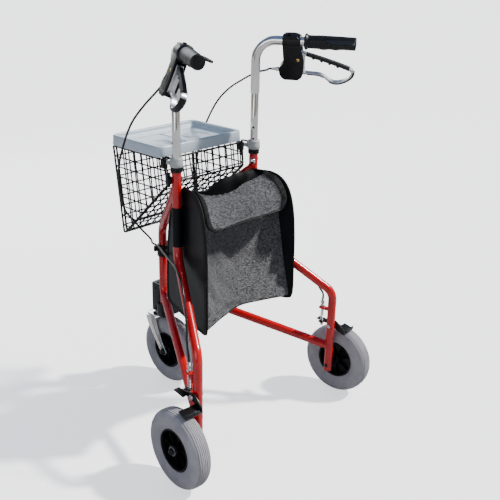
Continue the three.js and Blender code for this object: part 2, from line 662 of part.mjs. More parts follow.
for (const side of sides) {
  const { frame, wheel, lever, bag, add } = side;
  add(frame, 'frame_tube', frameTube(), 'red');
  add(frame, 'front_tube', frontTube(), 'red');
  add(frame, 'height_collar', heightCollar(), 'grey');
  add(frame, 'collar_ring', collarRing(), 'black');
  add(frame, 'height_knob', heightKnob(), 'black');
  add(frame, 'dome_bolt', domeBolt(), 'chrome');
  add(frame, 'handle_tube', handleTube(), 'chrome');
  add(wheel, 'axle_bolt', axleBolt(), 'black');
  add(wheel, 'tyre', tyreSolid().translate([WHEEL_OUT, 0, WHEEL_R]), 'tyre');
  add(wheel, 'hub', hubSolid().translate([WHEEL_OUT, 0, WHEEL_R]), 'black');
  add(wheel, 'cable_bracket', cableBracket(), 'red');
  add(wheel, 'cable_adjuster', cableAdjuster(), 'steel');
  add(wheel, 'brake_spring', brakeSpring(), 'steel');
  add(wheel, 'brake_pivot_bolt', brakePivotBolt(), 'steel');
  add(wheel, 'brake_arm', brakeArm(), 'black');
  add(lever, 'lever_housing', leverHousing(), 'black');
  add(lever, 'lever_pin', leverPin(), 'brass');
  add(lever, 'cable_ferrule', cableFerrule(), 'steel');
  add(lever, 'brake_lever', brakeLever(), 'black');
  add(lever, 'grip', grip(), 'rubber');
  add(bag, 'bag_panel', bagPanel(), 'vinyl');
  add(bag, 'bag_sleeve', bagSleeve(), 'vinyl');
  addMesh(walker, `${side.prefix}_brake_cable`, brakeCable(side), 'black');
}

addMesh(walker, 'upper_hinge_clamp', upperHingeClamp(), 'black');
addMesh(walker, 'caster_housing', casterHousing(), 'black');
addMesh(walker, 'caster_stem', casterStem(), 'steel');
addMesh(walker, 'caster_fork', casterFork(), 'chrome');
addMesh(walker, 'front_axle', frontAxle(), 'black');
addMesh(walker, 'front_tyre', tyreSolid().translate([0, WHEEL_Y, WHEEL_R]), 'tyre');
addMesh(walker, 'front_hub', hubSolid().translate([0, WHEEL_Y, WHEEL_R]), 'black');
addMesh(walker, 'basket', basket(), 'wire');
addMesh(walker, 'tray', tray(), 'tray');
addMesh(walker, 'bag_body', clothSheet(BODY_ROWS), 'cloth');
addMesh(walker, 'bag_flap', clothSheet(FLAP_ROWS), 'cloth');

export default walker;
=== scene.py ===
"""Looks for the folding three-wheeled walker: its finished pieces, materials, light and camera.

Lengths are in metres, except in functions that say millimetres. -Y is the front, +X the user's left.
Pieces of the left side are made once, in the side's own axes (outwards, backwards along the frame, up),
and mirrored for the right side.
"""
import math

import bmesh
import bpy
from mathutils import Matrix, Vector, noise


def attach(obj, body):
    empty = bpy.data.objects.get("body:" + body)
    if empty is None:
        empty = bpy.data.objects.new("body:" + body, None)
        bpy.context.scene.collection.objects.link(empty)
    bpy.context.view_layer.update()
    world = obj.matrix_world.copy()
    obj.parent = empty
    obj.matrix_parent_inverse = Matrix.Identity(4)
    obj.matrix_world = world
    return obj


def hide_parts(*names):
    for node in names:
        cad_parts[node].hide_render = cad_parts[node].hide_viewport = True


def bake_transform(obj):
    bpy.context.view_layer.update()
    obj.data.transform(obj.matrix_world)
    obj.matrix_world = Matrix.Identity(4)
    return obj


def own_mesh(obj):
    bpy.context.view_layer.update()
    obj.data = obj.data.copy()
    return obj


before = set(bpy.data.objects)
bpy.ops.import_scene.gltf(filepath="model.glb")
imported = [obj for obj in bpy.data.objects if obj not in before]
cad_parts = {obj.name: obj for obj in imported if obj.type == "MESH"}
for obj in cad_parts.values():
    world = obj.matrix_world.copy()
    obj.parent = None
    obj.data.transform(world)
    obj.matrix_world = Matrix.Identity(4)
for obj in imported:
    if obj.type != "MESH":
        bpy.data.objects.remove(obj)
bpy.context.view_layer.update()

# ---------------------------------------------------------------- sizes
MM = 0.001
HINGE_X, HINGE_Y = 16.5 * MM, -192.5 * MM
# Distance back from the hinge to the handle post and to the rear leg, in millimetres along the side frame.
POST_BACK, LEG_BACK = 218.4, 440
FRAME_ANGLE, TOE_ANGLE, LEVER_TILT = math.radians(31), math.radians(5.7), math.radians(22)
PANEL_ANGLE = math.atan(0.31)
TUBE_R = 11.1 * MM
POST_U, LEG_U = POST_BACK * MM, LEG_BACK * MM
GRIP_Z = 945 * MM
WHEEL_R = 95 * MM
WHEEL_OUT = 51 * MM
# The caster's turning axis and the front wheel's axle, in millimetres.
STEM_Y, AXLE_Y, AXLE_Z = -230.5, -182.5, 95
WHEEL_Y = AXLE_Y * MM
# Heights of the knob and the cable bracket, pitch of the height holes, and the cable's distance outwards.
KNOB_Z, HOLE_PITCH, BRACKET_Z, CABLE_OUT = 650, 28.3, 257, 15.5
GRIP_START, GRIP_LENGTH = 335, 120

SIDE = Matrix.Translation((HINGE_X, HINGE_Y, 0)) @ Matrix.Rotation(-FRAME_ANGLE, 4, "Z")
WHEEL = SIDE @ Matrix.Translation((0, LEG_U, 0)) @ Matrix.Rotation(FRAME_ANGLE - TOE_ANGLE, 4, "Z")
LEVER = SIDE @ Matrix.Translation((0, 0, GRIP_Z)) @ Matrix.Rotation(-LEVER_TILT, 4, "Y")
POST = SIDE @ Matrix.Translation((0, POST_U, 0))
BAG = POST @ Matrix.Rotation(FRAME_ANGLE - PANEL_ANGLE, 4, "Z")

# Camera: lens and sensor in millimetres, shift as a share of the frame, place, and turns in degrees.
LENS, SENSOR, SHIFT = 54.7, 36, (0.0048, -0.0034)
CAMERA_PLACE = (1.2454, 1.2573, 1.1384)
CAMERA_YAW, CAMERA_PITCH, CAMERA_ROLL = -137.13, -21.3, 1.25
SUN_ENERGY, SUN_SOFTNESS, SUN_COLOR, SUN_FROM = 6.8, 4, (1, 0.97, 0.92), (-0.6, 0.45, 0.78)
SKY_STRENGTH, FLOOR_GLOW = 0.62, 1.1
# The floor and the backdrop are pale to look at; the floor throws back less light than it shows.
FLOOR_COLOR, FLOOR_BOUNCE = (0.94, 0.94, 0.945), (0.36, 0.36, 0.37)
BACKDROP = (5.0, 5.0, 5.05, 1)

# The brake cables' routes: world millimetres down to the clip, then distance back and height on the frame.
LEFT_CABLE = [(174, -21, 849), (186, -48, 818), (197, -76, 779), (200, -106, 722), (194, -134, 663),
              (184, -146, 600), (170, -148, 551), (140, -136, 505), (100, -142, 462), (62, -178, 428),
              (45, -186, 417)]
RIGHT_CABLE = [(-171, -6, 870), (-173, -32, 863), (-178, -70, 848), (-188, -113, 828), (-193, -153, 806),
               (-192, -198, 766), (-178, -226, 707), (-166, -240, 650), (-156, -244, 590),
               (-150, -238, 530), (-138, -224, 478), (-92, -204, 436), (-45, -186, 417)]
LEFT_LOWER = [(55, 419), (104, 427), (160, 436), (223, 447), (273, 453), (310, 451), (341, 444), (364, 430),
              (381, 408), (391, 380), (398, 352), (397, 325)]
RIGHT_LOWER = [(55, 419), (104, 427), (160, 436), (223, 446), (280, 418), (320, 391), (360, 364),
               (392, 340), (401, 315)]
# The basket in millimetres: upper rim, lower front edge and lower rear edge.
BASKET = {"top": 688, "half": 133, "front": -236, "rear": -47, "low_front": -213.5, "low_front_z": 460,
          "low_rear": -36, "low_rear_z": 627, "low_half": 127}
BASKET_PITCH = 25.3
# Outline of the bag from the side, in millimetres behind the post and above the floor.
BAG_SIDE = [(-92, 322), (-88, 310), (-76, 303.6), (0, 302), (112, 301.6), (122, 305), (125.6, 318),
            (125.6, 400), (124, 480), (116, 556), (103, 596), (84, 619), (58, 629.6), (30, 630), (6, 629),
            (-7, 608), (-30, 581), (-63, 554), (-80, 500), (-89, 430)]
# Inward push of the cloth in millimetres. Rows go along the outline from its front or its upper edge,
# columns from the right panel to the left one. The rear wall's four edges have their own lists.
TOP_PUSH = [(0, 2, 7, 22, 8), (4, 34, 46, 42, 4), (8, 46, 60, 54, 8), (8, 46, 58, 50, 8), (4, 34, 46, 40, 4)]
FLAP_PUSH = [(0, 13, 27, 25, 0), (0, 17, 25, 19, 0), (0, 9, 13, 12, 0), (1, 4, 7, 6, 1), (4, 5, 6, 5, 2)]
FRONT_PUSH = [(0, 2, 7, 22, 8), (0, 12, 18, 15, 0), (0, 10, 15, 11, 0), (0, 6, 9, 6, 0), (0, 4, 6, 4, 0)]
REAR_SIDE, REAR_LOW, REAR_TOP = (3, 17, 28, 34, 35), (2, 22, 36, 24, 3), (35, 41, 44, 41, 35)
REAR_CENTRE, REAR_DEEPEST = (0.53, -0.04), 92
# Length of the flap behind its fold, and the radius of the corners of its hem.
FLAP_LENGTH, FLAP_CORNER = 0.118, 0.034


def mm(*values):
    return Vector([value * MM for value in values])


# ---------------------------------------------------------------- shader nodes
def set_inputs(tree, made, inputs):
    """Gives a node's sockets their values, or links them to other nodes' outputs."""
    for socket, value in inputs.items():
        if isinstance(value, bpy.types.NodeSocket):
            tree.links.new(value, made.inputs[socket])
        else:
            made.inputs[socket].default_value = value


def add_node(tree, kind, inputs, **settings):
    made = tree.nodes.new("ShaderNode" + kind)
    for name, value in settings.items():
        setattr(made, name, value)
    set_inputs(tree, made, inputs)
    return made


def fill_ramp(ramp, stops):
    elements = ramp.color_ramp.elements
    while len(elements) < len(stops):
        elements.new(0.5)
    for element, (place, color) in zip(elements, stops):
        element.position = place
        element.color = (*color, 1)


def ramp_between(tree, value, low, high, start=0.3, end=0.7):
    ramp = add_node(tree, "ValToRGB", {0: value})
    fill_ramp(ramp, [(start, low), (end, high)])
    return ramp.outputs[0]


def combined(tree, operation, first, second):
    return add_node(tree, "Math", {0: first, 1: second}, operation=operation).outputs[0]


def mixed(tree, share, first, second, blend="MIX"):
    inputs = {0: share, 6: first, 7: second}
    return add_node(tree, "Mix", inputs, data_type="RGBA", blend_type=blend).outputs[2]


def between(tree, value, low, high):
    return add_node(tree, "MapRange", {"Value": value, "To Min": low, "To Max": high}).outputs[0]


def object_place(tree):
    return tree.nodes.new("ShaderNodeTexCoord").outputs["Object"]


def object_noise(tree, scale, detail=4, rough=0.55, stretch=None):
    source = object_place(tree)
    if stretch:
        source = add_node(tree, "Mapping", {"Vector": source, "Scale": stretch}).outputs["Vector"]
    inputs = {"Vector": source, "Scale": scale, "Detail": detail, "Roughness": rough}
    return add_node(tree, "TexNoise", inputs).outputs["Fac"]


def object_cells(tree, scale, feature="F1"):
    inputs = {"Vector": object_place(tree), "Scale": scale}
    return add_node(tree, "TexVoronoi", inputs, feature=feature).outputs["Distance"]


def bumps(tree, shader, heights, strength, distance):
    """Adds up (value, share) heights and bends the surface by them."""
    total = None
    for value, share in heights:
        scaled = combined(tree, "MULTIPLY", value, share)
        total = scaled if total is None else combined(tree, "ADD", total, scaled)
    bump = add_node(tree, "Bump", {"Strength": strength, "Distance": distance, "Height": total})
    tree.links.new(bump.outputs[0], shader.inputs["Normal"])


# ---------------------------------------------------------------- camera, stage and light
def make_camera():
    data = bpy.data.cameras.new("camera")
    data.lens, data.sensor_width = LENS, SENSOR
    data.shift_x, data.shift_y = SHIFT
    camera = bpy.data.objects.new("camera", data)
    yaw, pitch, roll = [math.radians(a) for a in (CAMERA_YAW, CAMERA_PITCH, CAMERA_ROLL)]
    ahead = Vector((math.cos(pitch) * math.cos(yaw), math.cos(pitch) * math.sin(yaw), math.sin(pitch)))
    turn = ahead.to_track_quat("-Z", "Y").to_matrix().to_4x4() @ Matrix.Rotation(roll, 4, "Z")
    camera.matrix_world = Matrix.Translation(CAMERA_PLACE) @ turn
    bpy.context.collection.objects.link(camera)
    bpy.context.scene.camera = camera


def area_light(name, place, target, size, power, color=(1, 1, 1)):
    data = bpy.data.lights.new(name, "AREA")
    data.shape, data.size, data.energy, data.color = "DISK", size, power, color
    light = bpy.data.objects.new(name, data)
    light.location = place
    light.rotation_euler = (Vector(target) - Vector(place)).to_track_quat("-Z", "Y").to_euler()
    bpy.context.collection.objects.link(light)


def sky_color(tree, direction):
    """A studio sky, pale low down and blue above, with dark and warm flags round it for the chrome."""
    split = add_node(tree, "SeparateXYZ", {0: direction})
    height = add_node(tree, "ValToRGB", {0: split.outputs["Z"]})
    fill_ramp(height, [(0.0, (0.80, 0.78, 0.74)), (0.16, (0.92, 0.93, 0.95)), (0.45, (0.46, 0.62, 0.92)),
                       (1.0, (0.26, 0.42, 0.80))])
    angle = combined(tree, "ARCTAN2", split.outputs["Y"], split.outputs["X"])
    turn = add_node(tree, "MapRange", {"Value": angle, "From Min": -math.pi, "From Max": math.pi})
    flags = add_node(tree, "ValToRGB", {0: turn.outputs[0]})
    warm, dark, clear = (0.62, 0.56, 0.46), (0.07, 0.07, 0.08), (1, 1, 1)
    fill_ramp(flags, [(0.0, clear), (0.08, dark), (0.15, clear), (0.30, clear), (0.36, dark), (0.42, warm),
                      (0.52, clear), (0.60, warm), (0.66, dark), (0.72, clear), (0.84, warm), (0.92, clear)])
    return mixed(tree, 0.85, height.outputs[0], flags.outputs[0], "MULTIPLY")


def make_stage():
    mesh = bpy.data.meshes.new("floor")
    reach, low = 60, -0.0005
    corners = [(-reach, -reach, low), (reach, -reach, low), (reach, reach, low), (-reach, reach, low)]
    mesh.from_pydata(corners, [], [(0, 1, 2, 3)])
    floor = bpy.data.objects.new("floor", mesh)
    bpy.context.collection.objects.link(floor)

    def build(tree, shader):
        seen = tree.nodes.new("ShaderNodeLightPath").outputs["Is Camera Ray"]
        set_inputs(tree, shader, {
            "Base Color": ramp_between(tree, seen, FLOOR_BOUNCE, FLOOR_COLOR, 0, 1),
            "Roughness": 0.9, "Specular IOR Level": 0.1,
            "Emission Color": (0.97, 0.985, 1, 1),
            "Emission Strength": combined(tree, "MULTIPLY", seen, FLOOR_GLOW),
        })
    floor.data.materials.append(material("floor_white", build))


def make_light():
    world = bpy.data.worlds.new("studio")
    world.use_nodes = True
    bpy.context.scene.world = world
    tree = world.node_tree
    place = tree.nodes.new("ShaderNodeTexCoord")
    seen = tree.nodes.new("ShaderNodeLightPath").outputs["Is Camera Ray"]
    backdrop = mixed(tree, seen, sky_color(tree, place.outputs["Generated"]), BACKDROP)
    set_inputs(tree, tree.nodes["Background"], {"Color": backdrop, "Strength": SKY_STRENGTH})
    data = bpy.data.lights.new("sun", "SUN")
    data.energy, data.angle, data.color = SUN_ENERGY, math.radians(SUN_SOFTNESS), SUN_COLOR
    sun = bpy.data.objects.new("sun", data)
    sun.rotation_euler = Vector(SUN_FROM).to_track_quat("Z", "Y").to_euler()
    bpy.context.collection.objects.link(sun)
    area_light("fill", (2.6, 0.6, 1.5), (0, 0, 0.5), 1.8, 16)
    area_light("back", (-1.0, -2.4, 1.8), (0, 0, 0.5), 1.6, 22)


# ---------------------------------------------------------------- materials
MADE = {}


def material(name, build):
    if name not in MADE:
        made = bpy.data.materials.new(name)
        made.use_nodes = True
        build(made.node_tree, made.node_tree.nodes["Principled BSDF"])
        MADE[name] = made
    return MADE[name]


def plain(name, color, roughness):
    def build(tree, shader):
        set_inputs(tree, shader, {"Base Color": (*color, 1), "Roughness": roughness})
    return material(name, build)


def finish_of(name, low, high, roughness, scale=40, metal=0.0, grain=None, coat=0.0, spread=0.08, bump=0.1,
              gleam=0.5):
    """A moulded, painted or plated surface: colour drift, uneven gloss and a fine grain."""
    def build(tree, shader):
        patches = object_noise(tree, scale * 2.3, 6)
        set_inputs(tree, shader, {
            "Base Color": ramp_between(tree, object_noise(tree, scale), low, high),
            "Roughness": between(tree, patches, max(roughness - spread, 0.02), roughness + spread),
            "Metallic": metal, "Specular IOR Level": gleam, "Coat Weight": coat, "Coat Roughness": 0.06,
        })
        if grain:
            bumps(tree, shader, [(object_noise(tree, grain, 3), 1.0)], bump, 0.0006)
    return material(name, build)


def textured(name, low, high, roughness, gleam, drift, heights, strength, distance):
    """A surface of even gloss. Drift has the noise of its colour, heights the textures of its relief."""
    def build(tree, shader):
        color = ramp_between(tree, object_noise(tree, *drift), low, high)
        set_inputs(tree, shader, {"Base Color": color, "Roughness": roughness, "Specular IOR Level": gleam})
        relief = [(texture(tree, *numbers), share) for texture, numbers, share in heights]
        bumps(tree, shader, relief, strength, distance)
    return material(name, build)


def red_paint():
    return finish_of("red_enamel", (0.40, 0.0, 0.001), (0.52, 0.0, 0.002), 0.22, 25, 0.0, 260, 0.25, 0.04,
                     0.04)


def chrome():
    return finish_of("chrome_plate", (0.70, 0.69, 0.67), (0.80, 0.79, 0.77), 0.08, 30, 1.0, 500, 0, 0.04,
                     0.02)


def zinc():
    return finish_of("zinc_steel", (0.5, 0.51, 0.53), (0.72, 0.72, 0.74), 0.32, 120, 1.0, 900, 0, 0.1, 0.1)


def dull_steel():
    return finish_of("dull_steel", (0.20, 0.2, 0.205), (0.32, 0.32, 0.325), 0.42, 120, 1.0, 900, 0, 0.1, 0.1)


def brass():
    return finish_of("brass", (0.62, 0.42, 0.12), (0.8, 0.6, 0.24), 0.25, 150, 1.0, 700)


def black_plastic():
    return finish_of("black_plastic", (0.0016, 0.0018, 0.0022), (0.004, 0.0044, 0.0052), 0.36, 60, 0, 1500,
                     0, 0.08, 0.15, 0.25)


def black_metal():
    return finish_of("black_metal", (0.0018, 0.0018, 0.002), (0.0045, 0.0045, 0.005), 0.34, 70, 0.0, 900,
                     0.05, 0.08, 0.12, 0.3)


def wire_coat():
    return finish_of("wire_coat", (0.001, 0.0012, 0.0016), (0.003, 0.0034, 0.004), 0.34, 80, 0, 800, 0.0,
                     0.08, 0.1, 0.25)


def grey_plastic():
    return finish_of("grey_plastic", (0.30, 0.32, 0.32), (0.37, 0.39, 0.385), 0.42, 50, 0, 1200, 0, 0.08,
                     0.12)


def tray_plastic():
    return finish_of("tray_plastic", (0.40, 0.48, 0.56), (0.47, 0.55, 0.62), 0.3, 18, 0, 1100, 0.2, 0.08,
                     0.12)


def lining():
    return finish_of("black_lining", (0.0015, 0.0017, 0.0022), (0.005, 0.0055, 0.007), 0.6, 40, 0, 1500, 0,
                     0.05, 0.2, 0.15)


def thread():
    return finish_of("thread", (0.16, 0.165, 0.175), (0.26, 0.265, 0.275), 0.6, 400)


def sheath():
    return finish_of("cable_sheath", (0.003, 0.003, 0.0035), (0.007, 0.007, 0.008), 0.33, 100, 0, 900)


def rubber():
    relief = [(object_noise, (1400, 3), 0.6), (object_cells, (700,), 0.4)]
    return textured("grip_rubber", (0.0018, 0.0022, 0.003), (0.005, 0.006, 0.0078), 0.42, 0.3, (70,), relief,
                    0.2, 0.0004)


def pebble():
    relief = [(object_cells, (900,), 1.0), (object_noise, (600,), 0.4)]
    return textured("pebbled_cover", (0.002, 0.0022, 0.0028), (0.005, 0.0054, 0.0062), 0.42, 0.3, (60,),
                    relief, 0.7, 0.0006)


def tyre_rubber():
    relief = [(object_noise, (900, 5), 0.5), (object_noise, (140, 3), 0.5)]
    return textured("grey_tyre", (0.25, 0.245, 0.27), (0.38, 0.37, 0.40), 0.68, 0.5, (22, 8, 0.7), relief,
                    0.25, 0.0008)


def binding():
    """Black woven tape sewn along the edges of the bag."""
    weave = (900, 3, 0.6, (1, 1, 3))
    return textured("black_binding", (0.0008, 0.0008, 0.001), (0.0045, 0.0048, 0.0055), 0.5, 0.18, weave,
                    [(object_noise, weave, 1.0)], 0.6, 0.001)


def vinyl():
    relief = [(object_noise, (1500, 2), 0.6), (object_noise, (35, 3), 0.5)]
    return textured("black_vinyl", (0.0014, 0.0024, 0.0034), (0.0036, 0.0058, 0.008), 0.4, 0.12, (12, 5),
                    relief, 0.22, 0.0009)


def leatherette():
    """Embossed grey leather cloth: rounded pebbles and a wet gloss. Its colour follows the fold noise of the
    relief, darker in the valleys as painted shade and lighter on the tops as painted highlight.
    """
    def build(tree, shader):
        cells = object_cells(tree, 420, "SMOOTH_F1")
        folds = object_noise(tree, 170, 3, 0.5, (1, 1, 2))
        grain = object_noise(tree, 700, 4, 0.6, (1, 1, 1.6))
        cloud = object_noise(tree, 9, 5, 0.6)
        # Painted shade and highlight: the same fold noise as the bump makes the colour dark in the valleys
        # and light on the tops.
        light = ramp_between(tree, folds, (0.036, 0.038, 0.041), (0.20, 0.206, 0.212), 0.36, 0.64)
        broad = ramp_between(tree, cloud, (0.7, 0.7, 0.72), (1.1, 1.1, 1.12), 0.32, 0.7)
        set_inputs(tree, shader, {
            "Base Color": mixed(tree, 1, light, broad, "MULTIPLY"),
            "Roughness": between(tree, grain, 0.24, 0.44),
            "Specular IOR Level": 0.55,
        })
        bumps(tree, shader, [(folds, 1.0), (cells, -0.35), (grain, 0.35)], 1.0, 0.009)
    return material("grey_leatherette", build)


# ---------------------------------------------------------------- shapes: (vertices, faces)
class Shape:
    def __init__(self, verts=(), faces=()):
        self.verts = [Vector(v) for v in verts]
        self.faces = [tuple(f) for f in faces]

    def __add__(self, other):
        base = len(self.verts)
        return Shape(self.verts + other.verts,
                     self.faces + [tuple(i + base for i in f) for f in other.faces])

    def at(self, matrix):
        return Shape([matrix @ v for v in self.verts], self.faces)


def joined(shapes):
    total = Shape()
    for shape in shapes:
        total = total + shape
    return total


def rings(loops, closed=False, caps=True):
    """Skins a list of equally long point loops."""
    count = len(loops[0])
    verts = [point for loop in loops for point in loop]
    faces = []
    last = len(loops) if closed else len(loops) - 1
    for i in range(last):
        a, b = i * count, ((i + 1) % len(loops)) * count
        for k in range(count):
            n = (k + 1) % count
            faces.append((a + k, a + n, b + n, b + k))
    if caps and not closed:
        faces.append(tuple(reversed(range(count))))
        faces.append(tuple(range((len(loops) - 1) * count, len(loops) * count)))
    return Shape(verts, faces)


def frames_along(points, closed=False):
    """Point, side and up vectors at each point, turned as little as possible on the way."""
    count = len(points)
    tangents = []
    for i in range(count):
        ahead = points[(i + 1) % count] if closed or i < count - 1 else points[i]
        back = points[i - 1] if closed or i > 0 else points[i]
        tangents.append((ahead - back).normalized())
    side = tangents[0].orthogonal().normalized()
    result = []
    for i, tangent in enumerate(tangents):
        side = (side - tangent * side.dot(tangent)).normalized()
        result.append((points[i], side, tangent.cross(side)))
    return result


def sweep(points, radius, sides=24, closed=False):
    points = [Vector(p) for p in points]
    radii = radius if isinstance(radius, (list, tuple)) else [radius] * len(points)
    loops = []
    for (centre, side, up), r in zip(frames_along(points, closed), radii):
        turn = [2 * math.pi * k / sides for k in range(sides)]
        loops.append([centre + (side * math.cos(a) + up * math.sin(a)) * r for a in turn])
    return rings(loops, closed)


def ribbon(points, across, width, thick, closed=False, corner=0.25):
    """A flat bar with eased corners along a path; across is the direction of its width."""
    points = [Vector(p) for p in points]
    across = Vector(across).normalized()
    loops = []
    c = corner * thick
    half_w, half_t = width / 2, thick / 2
    section = [(-half_w + c, -half_t), (half_w - c, -half_t), (half_w, -half_t + c), (half_w, half_t - c),
               (half_w - c, half_t), (-half_w + c, half_t), (-half_w, half_t - c), (-half_w, -half_t + c)]
    count = len(points)
    for i, centre in enumerate(points):
        ahead = points[(i + 1) % count] if closed or i < count - 1 else centre
        back = points[i - 1] if closed or i > 0 else centre
        out = across.cross((ahead - back).normalized())
        loops.append([centre + across * w + out * t for w, t in section])
    return rings(loops, closed)


def rounded_path(corners, radii, steps=12):
    """A polyline whose inner corners are arcs; radii has one value per inner corner."""
    points = [Vector(c) for c in corners]
    path = [points[0]]
    for i in range(1, len(points) - 1):
        back = (points[i - 1] - points[i]).normalized()
        ahead = (points[i + 1] - points[i]).normalized()
        half = back.angle(ahead) / 2
        r = radii[i - 1]
        centre = points[i] + (back + ahead).normalized() * (r / math.sin(half))
        first = points[i] + back * (r / math.tan(half)) - centre
        last = points[i] + ahead * (r / math.tan(half)) - centre
        axis, angle = first.cross(last).normalized(), first.angle(last)
        for k in range(steps + 1):
            path.append(centre + Matrix.Rotation(angle * k / steps, 3, axis) @ first)
    return path + [points[-1]]


def smooth_path(points, count, closed=False):
    """A centripetal-style spline through the points, resampled evenly."""
    pts = [Vector(p) for p in points]
    n = len(pts)
    fine = []
    spans = n if closed else n - 1
    for i in range(spans):
        p0 = pts[(i - 1) % n] if closed or i > 0 else pts[0] * 2 - pts[1]
        p1, p2 = pts[i], pts[(i + 1) % n]
        p3 = pts[(i + 2) % n] if closed or i < n - 2 else pts[-1] * 2 - pts[-2]
        d01, d12, d23 = [max((a - b).length, 1e-6) ** 0.5 for a, b in ((p1, p0), (p2, p1), (p3, p2))]
        m1 = (p2 - p1) + ((p1 - p0) / d01 - (p2 - p0) / (d01 + d12)) * d12
        m2 = (p2 - p1) + ((p3 - p2) / d23 - (p3 - p1) / (d12 + d23)) * d12
        for k in range(16):
            t = k / 16
            fine.append(p1 * (2 * t ** 3 - 3 * t ** 2 + 1) + m1 * (t ** 3 - 2 * t ** 2 + t)
                        + p2 * (3 * t ** 2 - 2 * t ** 3) + m2 * (t ** 3 - t ** 2))
    fine.append(pts[0] if closed else pts[-1])
    lengths = [0.0]
    for a, b in zip(fine, fine[1:]):
        lengths.append(lengths[-1] + (b - a).length)
    result, j = [], 0
    for k in range(count if closed else count + 1):
        goal = lengths[-1] * k / count
        while j < len(fine) - 2 and lengths[j + 1] < goal:
            j += 1
        share = (goal - lengths[j]) / max(lengths[j + 1] - lengths[j], 1e-9)
        result.append(fine[j].lerp(fine[j + 1], min(max(share, 0), 1)))
    return result


def turned(profile, sides=64):
    """A closed profile of (radius, distance) turned about the X axis, in millimetres."""
    loops = []
    for k in range(sides):
        a = 2 * math.pi * k / sides
        loops.append([mm(x, r * math.cos(a), r * math.sin(a)) for r, x in profile])
    return rings(loops, closed=True)


def cleaned(shape, bevel=0.0, segments=3, angle=30, weld=1e-6):
    """Welds doubles, turns faces outwards and eases sharp edges."""
    mesh = bmesh.new()
    made = [mesh.verts.new(v) for v in shape.verts]
    for face in shape.faces:
        corners = [made[i] for i in face]
        if len(set(corners)) > 2:
            try:
                mesh.faces.new(corners)
            except ValueError:
                pass
    bmesh.ops.remove_doubles(mesh, verts=mesh.verts, dist=weld)
    bmesh.ops.dissolve_degenerate(mesh, edges=mesh.edges, dist=weld)
    bmesh.ops.recalc_face_normals(mesh, faces=mesh.faces)
    if bevel:
        inner = [e for e in mesh.edges if len(e.link_faces) == 2]
        sharp = [e for e in inner if e.calc_face_angle() > math.radians(angle)]
        bmesh.ops.bevel(mesh, geom=sharp, offset=bevel, segments=segments, profile=0.5, affect="EDGES",
                        clamp_overlap=True)
    mesh.verts.index_update()
    result = Shape([v.co.copy() for v in mesh.verts], [tuple(v.index for v in f.verts) for f in mesh.faces])
    mesh.free()
    return result


def plate(outline, x0, x1, bevel=1.0, segments=3, angle=30):
    """An outline of (y, z) points in millimetres, extruded along X and eased."""
    loops = [[mm(x, y, z) for y, z in outline] for x in (x0, x1)]
    return cleaned(rings(loops), bevel * MM, segments, angle)


def slab(outline, z0, z1, bevel=1.0, segments=3):
    loops = [[mm(x, y, z) for x, y in outline] for z in (z0, z1)]
    return cleaned(rings(loops), bevel * MM, segments)


def block(x0, x1, y0, y1, z0, z1, bevel=1.0, segments=3):
    return slab([(x0, y0), (x1, y0), (x1, y1), (x0, y1)], z0, z1, bevel, segments)


def rod(start, end, radius, sides=28, bevel=0.6, end_radius=None):
    """A round bar in millimetres with eased rims."""
    a, b = mm(*start), mm(*end)
    r0, r1 = radius * MM, (radius if end_radius is None else end_radius) * MM
    axis = (b - a).normalized()
    ease = min(bevel * MM, r0 * 0.6, r1 * 0.6, (b - a).length * 0.45)
    points = [a, a + axis * ease * 0.3, a + axis * ease, b - axis * ease, b - axis * ease * 0.3, b]
    radii = [r0 - ease, r0 - ease * 0.3, r0, r1, r1 - ease * 0.3, r1 - ease]
    return sweep(points, radii, sides)


def hexagon(start, end, radius, bevel=0.5):
    shape = sweep([mm(*start), mm(*end)], radius * MM, 6)
    return cleaned(shape, bevel * MM, 2)


def rounded_outline(x0, x1, y0, y1, corner, steps=8):
    points = []
    for cx, cy, start in ((x1 - corner, y1 - corner, 0), (x0 + corner, y1 - corner, 90),
                          (x0 + corner, y0 + corner, 180), (x1 - corner, y0 + corner, 270)):
        for k in range(steps + 1):
            a = math.radians(start + 90 * k / steps)
            points.append((cx + corner * math.cos(a), cy + corner * math.sin(a)))
    return points


# ---------------------------------------------------------------- pieces
def piece(name, shape, body, look, nodes=(), sharp=38):
    mesh = bpy.data.meshes.new(name)
    mesh.from_pydata([tuple(v) for v in shape.verts], [], shape.faces)
    mesh.validate()
    mesh.update()
    made = bpy.data.objects.new(f"{name}_look", mesh)
    bpy.context.collection.objects.link(made)
    mesh.materials.append(look)
    mesh.shade_smooth()
    mesh.set_sharp_from_angle(angle=math.radians(sharp))
    if body:
        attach(made, body)
    if nodes:
        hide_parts(*nodes)
    return made


def flipped(shape):
    return Shape([Vector((-v.x, v.y, v.z)) for v in shape.verts], [tuple(reversed(f)) for f in shape.faces])


def pair(name, shape, body, look, nodes=(), sharp=38):
    """The same piece on both sides. The shape is the left one, already in world coordinates."""
    both = []
    for side, copy in (("left", shape), ("right", flipped(shape))):
        names = [f"{side}_{node}" for node in nodes]
        both.append(piece(f"{side}_{name}", copy, f"{side}_{body}" if body else None, look, names,
                          sharp))
    return both


# ---------------------------------------------------------------- side frames
def weld_bead(path_start, direction, branch_r, target, target_r, bead_r):
    """A bead where a branch tube meets a vertical target tube; target is a point on the target's axis."""
    d = direction.normalized()
    side = d.orthogonal().normalized()
    up = d.cross(side)
    points = []
    for k in range(40):
        a = 2 * math.pi * k / 40
        origin = path_start + (side * math.cos(a) + up * math.sin(a)) * branch_r
        flat, run = Vector((origin.x - target.x, origin.y - target.y)), Vector((d.x, d.y))
        qa, qb, qc = run.dot(run), 2 * flat.dot(run), flat.dot(flat) - target_r ** 2
        root = max(qb * qb - 4 * qa * qc, 0)
        points.append(origin + d * ((-qb - math.sqrt(root)) / (2 * qa)))
    return sweep(points, bead_r, 10, closed=True)


